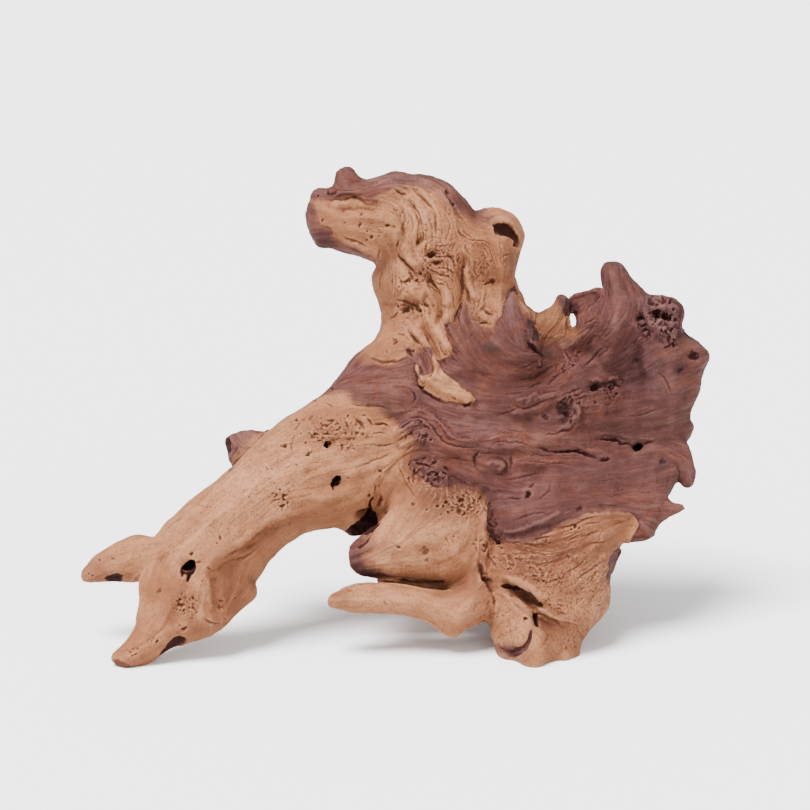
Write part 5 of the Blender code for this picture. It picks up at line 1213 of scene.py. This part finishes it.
    def sink_hollows(self):
        """Hollows cut down from their outlines, with painted shade on their walls."""
        margin = 3
        for depth, darkness, outline in HOLLOWS:
            corners = np.array(outline, float)
            low, high = corners.min(axis=0) - margin, corners.max(axis=0) + margin
            near = np.flatnonzero(((self.places > low) & (self.places < high)).all(axis=1))
            inside = depth_inside(self.places[near], outline)
            self.rise[near] -= depth * smooth_step(-0.3, 2.0, inside) * self.front[near]
            self.darken(near, darkness * smooth_step(-0.5, 0.7, inside) * self.skin.walls[near])

    def small_pits(self):
        """Pits strewn over the pitted patches: across, up, radius and depth."""
        to_square_millimetre = 0.06
        rng = np.random.default_rng(PIT_SEED)
        for strength, across, up, along, beside, *_ in PITTED_PATCHES:
            for _ in range(int(to_square_millimetre * strength * math.pi * along * beside)):
                away, angle = math.sqrt(rng.random()), rng.random() * 2 * math.pi
                x = across + along * away * math.cos(angle)
                y = up + beside * away * math.sin(angle)
                yield x, y, rng.uniform(0.2, 0.55), rng.uniform(0.2, 0.8)

    def sink_pits(self):
        """Borer holes and pits with uneven edges, painted with shade inside."""
        least_dark, full_dark = 0.1, 2.8
        cut = np.zeros(len(self.rise))
        uneven = self.noise("pit edges")
        for across, up, radius, depth in (*PITS, *self.small_pits()):
            x, y = self.places[:, 0] - across, self.places[:, 1] - up
            near = np.flatnonzero((np.abs(x) < radius * 2) & (np.abs(y) < radius * 2))
            away = np.hypot(x[near], y[near]) / radius + uneven[near]
            shape = 1 - smooth_step(0.35, 1.3, away)
            cut[near] = np.maximum(cut[near], depth * shape)
            self.darken(near, min(1.0, least_dark + depth / full_dark) * shape * self.front[near])
        self.rise -= cut * self.front

    def roughen(self):
        """Knobbly and worm-eaten places, with painted shade in the worm holes, and a slight unevenness all
        over.
        """
        knob_height, small_knob_height = 0.55, 0.30
        hole_depth, hole_shade, burl_everywhere = 0.7, 0.62, 0.12
        burl = self.masks["burl"] * self.front + burl_everywhere
        self.rise += knob_height * burl * self.noise("knobs")
        self.rise += small_knob_height * burl * self.noise("small knobs")
        sponge = self.noise("worm holes") + 0.2 * self.strands["fine"] + 0.4 * burl
        holes = smooth_step(0.42, 0.72, sponge) * smooth_step(0.2, 0.6, burl)
        self.rise -= hole_depth * holes
        self.darken(..., hole_shade * holes)
        self.rise += self.noise("all over")

    def finish(self):
        """Moves the points, and keeps what the colours need."""
        skin = self.skin
        rise = self.rise.clip(self.LOWEST, self.HIGHEST) * MM
        skin.points = skin.points + skin.normals * rise[:, None]
        skin.points[:, 2] = skin.points[:, 2].clip(CAD_BOX[0][2], None)
        skin.write()
        # How hollow each point lies, for painted shade in the hollows and painted highlight with the wear on
        # the ridges
        near, wide = (self.sunk(passes, depth) for passes, depth in ((3, 0.05), (22, 0.45)))
        self.masks["hollow"] = self.halved(0.35 * near + 0.9 * wide, 2)
        self.masks["cleft"] = self.cleft
        self.masks["grain"] = self.halved(self.mixed("grain"), 2)
        self.masks["thread"] = self.halved(self.strands["fine"], 2)
        self.masks["stain"] = self.halved(0.3 * self.strands["stain"] + self.noise("stain"), 1.5)
        tone = self.noise("tone")
        tone += self.mixed("tone")
        self.masks["tone"] = self.halved(tone, 1)
        return self.masks

    def sunk(self, passes, depth):
        """How far each point lies below those around it: 1 where that is a depth in millimetres."""
        mean = self.skin.averaged(self.skin.points, passes)
        return ((mean - self.skin.points) * self.skin.normals).sum(axis=1) / MM / depth

    @staticmethod
    def halved(values, most):
        """Values from -most to most, as shares from 0 to 1 with 0 in the middle."""
        return values.clip(-most, most) / (2 * most) + 0.5


def node_of_each(skin):
    """The number of the node that each point of the skin stands for, in the order of their names."""
    spot_area, rounds, passes = 2, 3, 8
    spots, owners = [], []
    rng = np.random.default_rng(PARTING_SEED)
    for number, name in enumerate(sorted(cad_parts)):
        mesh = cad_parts[name].data
        mesh.calc_loop_triangles()
        corners = read_rows(mesh.vertices, "co", 3)
        faces = read_rows(mesh.loop_triangles, "vertices", 3, np.int32)
        a, b, c = (corners[column] for column in faces.T)
        area = np.linalg.norm(np.cross(b - a, c - a), axis=1) / 2
        picks = np.repeat(np.arange(len(area)), np.ceil(area / MM**2 / spot_area).astype(int))
        s, t = rng.random((2, len(picks), 1))
        flip = s + t > 1
        s, t = np.where(flip, 1 - s, s), np.where(flip, 1 - t, t)
        spots.append(a[picks] + s * (b - a)[picks] + t * (c - a)[picks])
        owners.append(np.full(len(picks), number))
    spots, owners = np.vstack(spots), np.concatenate(owners)
    tree = KDTree(len(spots))
    for i, spot in enumerate(spots):
        tree.insert(spot, i)
    tree.balance()
    nearest = np.array([tree.find(point)[1] for point in skin.points])
    shares = np.eye(len(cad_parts))[owners[nearest]]
    for _ in range(rounds):
        shares = skin.averaged(shares, passes)
        owner = shares.argmax(axis=1)
        stray = strays(skin.edges, owner)
        if not stray.any():
            break
        shares[stray, owner[stray]] = 0.0
    return owner


def strays(edges, owner):
    """The points that hang together with only a small stretch of their own node."""
    group = np.arange(len(owner))
    a, b = edges[owner[edges[:, 0]] == owner[edges[:, 1]]].T
    while True:
        lower = group.copy()
        np.minimum.at(lower, a, group[b])
        np.minimum.at(lower, b, group[a])
        lower = lower[lower]
        if (lower == group).all():
            break
        group = lower
    sizes = np.bincount(group, minlength=len(owner))
    largest = {int(number): sizes[group[owner == number]].max() for number in np.unique(owner)}
    return sizes[group] < np.array([largest[int(number)] for number in owner])


def close_openings(thing, whole):
    """Turns a piece's open edges in under the surface and closes them there, inside the wood."""
    longest, cuts, smoothings = 3 * LIP, 4, 6
    shape = bmesh.new()
    shape.from_mesh(thing.data)
    on_surface = len(shape.verts)
    rims = [edge for edge in shape.edges if edge.is_boundary]
    bmesh.ops.extrude_edge_only(shape, edges=rims)
    rims = [edge for edge in shape.edges if edge.is_boundary]
    shape.verts.ensure_lookup_table()
    for vert in shape.verts[on_surface:]:
        vert.co = under_surface(whole, vert.co, 0.0)
    turned = len(shape.verts)
    caps = bmesh.ops.holes_fill(shape, edges=rims, sides=0)["faces"]
    bmesh.ops.triangulate(shape, faces=caps)
    for _ in range(cuts):
        shape.verts.index_update()
        caps = [face for face in shape.faces if min(vert.index for vert in face.verts) >= on_surface]
        long = dict.fromkeys(edge for face in caps for edge in face.edges if edge.calc_length() > longest)
        if not long:
            break
        bmesh.ops.subdivide_edges(shape, edges=list(long), cuts=1)
        bmesh.ops.triangulate(shape, faces=[face for face in shape.faces if len(face.verts) > 3])
    shape.verts.ensure_lookup_table()
    inner = shape.verts[turned:]
    every_way = {"use_axis_x": True, "use_axis_y": True, "use_axis_z": True}
    for _ in range(smoothings):
        bmesh.ops.smooth_vert(shape, verts=inner, factor=0.5, **every_way)
        for vert in inner:
            vert.co = under_surface(whole, vert.co, LIP)
    # The caps inside the wood get full painted shade, as dark as the inside of a crack
    dark = shape.verts.layers.float["cleft"]
    for vert in inner:
        vert[dark] = 1.0
    shape.to_mesh(thing.data)
    shape.free()


def under_surface(whole, place, more):
    """The place itself if it lies deep enough in the wood, or else one that does."""
    near, normal, _, _ = whole.find_nearest(place)
    if (place - near).dot(normal) < -LIP - more:
        return place
    return near - normal * (LIP + more)


class Wood:
    """The carved skin, made once and parted among the pieces."""

    made = None

    def __init__(self, sizes):
        self.skin = grown_together(sizes)
        self.masks = Carving(self.skin, sizes).finish()
        owner = node_of_each(self.skin)
        self.tree = BVHTree.FromObject(self.skin.thing, bpy.context.evaluated_depsgraph_get())
        mesh = self.skin.thing.data
        mesh.calc_loop_triangles()
        self.faces = read_rows(mesh.loop_triangles, "vertices", 3, np.int32)
        self.face_owner = np.sort(owner[self.faces], axis=1)[:, 1]

    @classmethod
    def carved(cls):
        """The carved skin, made at the first call."""
        if cls.made is None:
            cls.made = cls(bpy.context.scene.root_carving)
        return cls.made

    def piece(self, node):
        """The stretch of the skin that stands for one node."""
        number = sorted(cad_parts).index(node)
        faces = self.faces[self.face_owner == number]
        used, places = np.unique(faces, return_inverse=True)
        mesh = bpy.data.meshes.new("weathered_" + node)
        mesh.vertices.add(len(used))
        mesh.vertices.foreach_set("co", self.skin.points[used].ravel())
        mesh.loops.add(faces.size)
        mesh.loops.foreach_set("vertex_index", places.ravel().astype(np.int32))
        mesh.polygons.add(len(faces))
        mesh.polygons.foreach_set("loop_start", np.arange(0, faces.size, 3, dtype=np.int32))
        mesh.update(calc_edges=True)
        for name in MASKS:
            layer = mesh.attributes.new(name, "FLOAT", "POINT")
            layer.data.foreach_set("value", self.masks[name][used].astype(np.float32))
        piece = bpy.data.objects.new("weathered_" + node, mesh)
        bpy.context.scene.collection.objects.link(piece)
        close_openings(piece, self.tree)
        mesh.polygons.foreach_set("use_smooth", np.ones(len(mesh.polygons), bool))
        outward = read_rows(mesh.vertices, "normal", 3, np.float32)
        outward[: len(used)] = self.skin.normals[used]
        mesh.normals_split_custom_set_from_vertices(outward)
        mesh.update()
        piece.data.materials.append(weathered_wood())
        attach(piece, "root")
        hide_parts(node)
        return piece

    @classmethod
    def put_away(cls):
        """Removes the whole skin, once all its pieces are made."""
        if cls.made is not None:
            bpy.data.objects.remove(cls.made.skin.thing)
            cls.made = None


class Socket:
    """A node's output, on which sums are written as Python expressions."""

    def __init__(self, recipe, output):
        self.recipe = recipe
        self.output = output

    def sum(self, operation, first, second):
        made = self.recipe.node("ShaderNodeMath", {"operation": operation}, {0: first, 1: second})
        return made["Value"]

    def __add__(self, other):
        return self.sum("ADD", self, other)

    def __radd__(self, other):
        return self.sum("ADD", other, self)

    def __sub__(self, other):
        return self.sum("SUBTRACT", self, other)

    def __rsub__(self, other):
        return self.sum("SUBTRACT", other, self)

    def __mul__(self, other):
        return self.sum("MULTIPLY", self, other)

    def __rmul__(self, other):
        return self.sum("MULTIPLY", other, self)

    def at_most(self, other):
        return self.sum("MINIMUM", self, other)


class Outputs:
    """A made node, whose outputs are read by name or number."""

    def __init__(self, recipe, made):
        self.recipe = recipe
        self.made = made

    def __getitem__(self, key):
        return Socket(self.recipe, self.made.outputs[key])


class Recipe:
    """One material's node tree."""

    def __init__(self, name):
        self.material = bpy.data.materials.new(name)
        self.material.use_nodes = True
        self.tree = self.material.node_tree
        self.tree.nodes.clear()

    def node(self, kind, settings=None, sockets=None):
        """Adds a node: its settings first, then the values or links of its sockets."""
        made = self.tree.nodes.new(kind)
        for name, value in (settings or {}).items():
            setattr(made, name, value)
        for key, value in (sockets or {}).items():
            if isinstance(value, Socket):
                self.tree.links.new(value.output, made.inputs[key])
            else:
                made.inputs[key].default_value = value
        return Outputs(self, made)

    def laid_on(self, name):
        """What the carving laid on the wood under this name."""
        return self.node("ShaderNodeAttribute", {"attribute_name": name})["Fac"]

    def finished(self, sockets):
        """The material, once its surface has what feeds it."""
        surface = self.node("ShaderNodeBsdfPrincipled", None, sockets)
        self.node("ShaderNodeOutputMaterial", None, {"Surface": surface["BSDF"]})
        return self.material

    def between(self, value, low, high):
        """0 below low, 1 above high, and a smooth climb between them."""
        settings = {"interpolation_type": "SMOOTHSTEP"}
        sockets = {"Value": value, "From Min": low, "From Max": high}
        return self.node("ShaderNodeMapRange", settings, sockets)["Result"]

    def blend(self, first, second, share):
        sockets = {0: share, 6: first, 7: second}
        return self.node("ShaderNodeMix", {"data_type": "RGBA"}, sockets)[2]

    def layered(self, colour, layers):
        """A colour with others laid over it in turn, each by its share."""
        for over, share in layers:
            colour = self.blend(colour, over, share.at_most(1.0))
        return colour

    def noise(self, place, size, detail, roughness):
        """Noise from 0 to 1, whose largest spots are a size in metres."""
        sockets = {"Vector": place, "Scale": 1 / size, "Detail": detail, "Roughness": roughness}
        return self.node("ShaderNodeTexNoise", None, sockets)["Fac"]


def weathered_wood():
    """Pale sapwood and dark heartwood, dried, worn and stained, with painted shade in its hollows and cracks
    and painted highlight on its ridges: one finish for the whole root.
    """
    made = bpy.data.materials.get("weathered wood")
    if made:
        return made
    colours = bpy.context.scene.root_colours
    paint = {name: (*getattr(colours, name),) for name in RootColours.__annotations__}
    wood = Recipe("weathered wood")
    heart, deep, purple, rust, ash, pale, dusk, char, cleft, hollow, grain, thread, stain, tone, gritty = (
        wood.laid_on(name) for name in MASKS
    )
    place = wood.node("ShaderNodeTexCoord")["Object"]
    cloud, smoke, speck, grit, mottle = (wood.noise(place, *kind) for kind in COLOUR_NOISES.values())
    smoke = wood.between(smoke, 0.42, 0.66)
    grit = wood.between(grit, 0.5, 0.66)
    flecks = wood.between(speck, 0.5, 0.7) * 0.6 + wood.between(mottle, 0.5, 0.66) * 0.25
    fibre = wood.between(grain + (speck - 0.5) * 0.35, 0.3, 0.72)
    dark_thread = wood.between(thread + (speck - 0.5) * 0.5, 0.5, 0.8)
    pale_thread = wood.between(1 - thread + (speck - 0.5) * 0.5, 0.52, 0.85)
    blotch = wood.between(tone * 0.6 + cloud * 0.4, 0.35, 0.66)
    rusted = wood.between(stain * 0.75 + speck * 0.25, 0.5, 0.7)

    sapwood = wood.layered(paint["sapwood"], [
        (paint["pale_sapwood"], pale * 0.75 + blotch * 0.35),
        (paint["deep_sapwood"], deep * 0.85),
        (paint["dusky_sapwood"], dusk * 0.9),
        (paint["sapwood_grain"], fibre * 0.2 + dark_thread * (gritty * 0.35 + 0.26) + flecks),
        (paint["dusky_sapwood"], grit * gritty * 0.95),
    ])
    heartwood = wood.layered(paint["heartwood"], [
        (paint["pale_heartwood"], pale * 0.8 + blotch * 0.3),
        (paint["purple_heartwood"], purple * 0.8 + smoke * 0.4),
        (paint["rusty_heartwood"], rusted * 0.65 + rust * (0.55 + dark_thread * 0.5)),
        (paint["ashen_heartwood"], ash * 0.9 + smoke * 0.12),
        (paint["pale_heartwood"], pale_thread * 0.3),
        (paint["dusky_heartwood"], dusk * 0.9),
        (paint["heartwood_grain"], fibre * 0.28 + dark_thread * 0.42 + grit * 0.12),
    ])

    # Painted shade in the hollows, and rubbed wear with painted highlight on the ridges, both read from how
    # hollow each point lies
    sunk = wood.between(hollow, 0.5, 0.85)
    worn = wood.between(1 - hollow, 0.52, 0.9)
    shade = wood.blend(paint["sapwood_hollow"], paint["heartwood_hollow"], heart)
    light = wood.blend(paint["worn_sapwood"], paint["worn_heartwood"], heart)
    colour = wood.layered(wood.blend(sapwood, heartwood, heart), [
        (shade, sunk * 0.7),
        (light, worn * 0.34),
        (paint["char"], char + (speck - 0.5) * 0.5 * char),
        # Painted shade in the cracks, pits and hollows: the hollows' shade colour where it is faint, the
        # darkest colour where it is full
        (shade, wood.between(cleft, 0.03, 0.65) * 0.85),
        (paint["cleft"], wood.between(cleft, 0.5, 1.0)),
    ])

    height = speck + fibre * 0.4 - dark_thread * 0.4
    relief = wood.node("ShaderNodeBump", None, {"Strength": 0.5, "Distance": 0.0004, "Height": height})
    return wood.finished({
        "Base Color": colour,
        "Roughness": 0.74 + 0.12 * fibre + 0.12 * sunk - 0.08 * worn,
        "Normal": relief["Normal"],
        "Specular IOR Level": 0.12,
    })


def pale_floor(colour):
    """The floor's finish, plain and matt."""
    return Recipe("pale floor").finished({"Base Color": (*colour,), "Roughness": 0.9})


def length(name, description, default):
    """A length of up to a centimetre."""
    return bpy.props.FloatProperty(
        name=name, description=description, default=default, min=0.0, max=0.01, precision=5, unit="LENGTH"
    )


def strength(name, description, default, high):
    """A plain number from 0 to high."""
    return bpy.props.FloatProperty(name=name, description=description, default=default, min=0.0, max=high)


def colour(name, description, default):
    """A solid colour."""
    return bpy.props.FloatVectorProperty(
        name=name, description=description, default=(*default, 1.0), size=4, min=0.0, max=1.0, subtype="COLOR"
    )


class RootCarving(bpy.types.PropertyGroup):
    """Sizes of what is carved into the wood."""

    swell: length("Swell", "How far each node swells to meet its neighbours", 0.00025)
    first_voxel: length("First cell", "Cell of the skin whose facets are worn off", 0.0011)
    voxel: length("Cell", "Cell of the carved skin, halved on the front", 0.00106)
    fairing: bpy.props.IntProperty(
        name="Fairing", description="How many times the facets are worn off", default=22, min=0, max=100
    )
    ledge: length("Ledge", "How far the sapwood stands above the heartwood", 0.0005)
    folds: length("Folds", "Height of the broad, soft folds along the grain", 0.0005)
    ridges: length("Ridges", "Height of the ridges where the wood is folded", 0.001)
    grain: length("Grain", "Height of the worn grain", 0.00024)
    swell_share: strength("Swell height", "Share of the soft ridges' full height", 1.8, 4.0)
    crack_share: strength("Crack depth", "Share of the cracks' full depth that is cut", 1.0, 2.0)


class RootColours(bpy.types.PropertyGroup):
    """Colours of the wood."""

    sapwood: colour("Sapwood", "Worn sapwood", (0.182, 0.067, 0.0285))
    pale_sapwood: colour("Pale sapwood", "Sapwood bleached by the sun", (0.31, 0.138, 0.069))
    deep_sapwood: colour("Deep sapwood", "Stained, warm sapwood", (0.118, 0.0395, 0.0185))
    # Darker patches of the sapwood, laid on where the dusk mask is strong
    dusky_sapwood: colour("Dusky sapwood", "Sapwood darkened by weather", (0.064, 0.0205, 0.0112))
    sapwood_grain: colour("Sapwood grain", "Darker strands of the sapwood", (0.125, 0.045, 0.0205))
    # Painted shade for the sapwood's hollows, then rubbed wear with painted highlight for its ridges
    sapwood_hollow: colour("Sapwood hollows", "Hollows of the sapwood", (0.074, 0.023, 0.0112))
    worn_sapwood: colour("Worn sapwood", "Rubbed ridges of the sapwood", (0.345, 0.166, 0.088))
    heartwood: colour("Heartwood", "Dark red heartwood", (0.055, 0.0176, 0.0131))
    pale_heartwood: colour("Pale heartwood", "Heartwood bleached by the sun", (0.125, 0.051, 0.0405))
    purple_heartwood: colour("Purple heartwood", "Cold, purple heartwood", (0.048, 0.0165, 0.0166))
    rusty_heartwood: colour("Rusty heartwood", "Heartwood with a brown, iron stain", (0.088, 0.0222, 0.0118))
    ashen_heartwood: colour("Ashen heartwood", "Greyed heartwood", (0.07, 0.0302, 0.0308))
    # Darker patches of the heartwood, laid on where the dusk mask is strong
    dusky_heartwood: colour("Dusky heartwood", "Heartwood darkened by weather", (0.026, 0.0084, 0.0074))
    heartwood_grain: colour("Heartwood grain", "Darker strands of the heartwood", (0.036, 0.0114, 0.0088))
    # Painted shade for the heartwood's hollows, then rubbed wear with painted highlight for its ridges
    heartwood_hollow: colour("Heartwood hollows", "Hollows of the heartwood", (0.02, 0.0038, 0.0033))
    worn_heartwood: colour("Worn heartwood", "Rubbed ridges of the heartwood", (0.14, 0.062, 0.052))
    char: colour("Char", "Charred places", (0.014, 0.009, 0.009))
    # The darkest painted shade, for the inside of cracks, pits and hollows and the dark edges under the wood
    cleft: colour("Clefts", "The inside of cracks and pits", (0.016, 0.0032, 0.002))


class RootStage(bpy.types.PropertyGroup):
    """The floor, the light and the view."""

    floor: colour("Floor", "The floor's colour", (0.86, 0.86, 0.86))
    sky: strength("Sky", "Strength of the light from all round", 1.15, 20.0)
    key: strength("Key light", "Strength of the soft light above", 11.5, 50.0)
    fill: strength("Fill light", "Strength of the soft light in front", 1.2, 50.0)


class ROOT_OT_limbs(bpy.types.Operator):
    """Make the pale limbs, roots and feet"""

    bl_idname = "root.limbs"
    bl_label = "Limbs, roots and feet"

    def execute(self, context):
        wood = Wood.carved()
        for node in sorted(set(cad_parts) - set(TRUE_WOOD)):
            wood.piece(node)
        return {"FINISHED"}


class ROOT_OT_heartwood(bpy.types.Operator):
    """Make the dark middle mass and the hollow plate"""

    bl_idname = "root.heartwood"
    bl_label = "Middle mass and plate"

    def execute(self, context):
        wood = Wood.carved()
        for node in sorted(TRUE_WOOD):
            wood.piece(node)
        return {"FINISHED"}


class ROOT_OT_stage(bpy.types.Operator):
    """Put away the whole skin, and make the floor, the light and the camera"""

    bl_idname = "root.stage"
    bl_label = "Floor, light and camera"

    def execute(self, context):
        Wood.put_away()
        stage = context.scene.root_stage
        deselect_all()
        bpy.ops.mesh.primitive_plane_add(size=FLOOR_SIZE, location=(0, 0, 0))
        floor = context.view_layer.objects.active
        floor.name = "floor"
        floor.data.materials.append(pale_floor(stage.floor))
        world = bpy.data.worlds.new("studio")
        context.scene.world = world
        world.use_nodes = True
        sky = world.node_tree.nodes["Background"]
        sky.inputs["Color"].default_value = (1.0, 1.0, 1.0, 1.0)
        sky.inputs["Strength"].default_value = stage.sky
        for name, (place, spread) in LAMPS.items():
            self.lamp(context, name, place, spread, getattr(stage, name))
        self.camera(context)
        return {"FINISHED"}

    def lamp(self, context, name, place, spread, strength):
        """A soft sun that shines from a place towards the part."""
        bpy.ops.object.light_add(type="SUN", location=place)
        lamp = context.view_layer.objects.active
        lamp.name = name
        lamp.data.angle = math.radians(spread)
        lamp.data.energy = strength
        lamp.rotation_euler = (-Vector(place)).to_track_quat("-Z", "Y").to_euler()

    def camera(self, context):
        """The photograph's view, looking at the middle of the picture plane."""
        target = seen(AXIS_ACROSS, AXIS_UP, 0)
        away = Vector((0, -math.cos(VIEW_TILT), math.sin(VIEW_TILT)))
        bpy.ops.object.camera_add(location=target + away * EYE_DISTANCE * MM)
        camera = context.view_layer.objects.active
        camera.name = "view"
        camera.rotation_euler = (-away).to_track_quat("-Z", "Y").to_euler()
        camera.data.sensor_width = SENSOR
        camera.data.lens = SENSOR * EYE_DISTANCE / FRAME_WIDTH
        context.scene.camera = camera


class ROOT_PT_panel(bpy.types.Panel):
    """Lists the steps in order"""

    bl_label = "Mopani root"
    bl_idname = "ROOT_PT_panel"
    bl_space_type = "VIEW_3D"
    bl_region_type = "UI"
    bl_category = "Root"

    def draw(self, context):
        for group_name in GROUPS:
            group = getattr(context.scene, group_name)
            box = self.layout.box()
            for name in group.__annotations__:
                box.prop(group, name)
        for step in STEPS:
            self.layout.operator(step.bl_idname)


STEPS = (ROOT_OT_limbs, ROOT_OT_heartwood, ROOT_OT_stage)
GROUPS = {"root_carving": RootCarving, "root_colours": RootColours, "root_stage": RootStage}


def register():
    for kind in (*GROUPS.values(), *STEPS, ROOT_PT_panel):
        bpy.utils.register_class(kind)
    for name, group in GROUPS.items():
        setattr(bpy.types.Scene, name, bpy.props.PointerProperty(type=group))


def unregister():
    for name in GROUPS:
        delattr(bpy.types.Scene, name)
    for kind in (*GROUPS.values(), *STEPS, ROOT_PT_panel):
        bpy.utils.unregister_class(kind)


def main():
    register()
    bpy.ops.root.limbs()
    bpy.ops.root.heartwood()
    bpy.ops.root.stage()


if __name__ == "__main__":
    main()
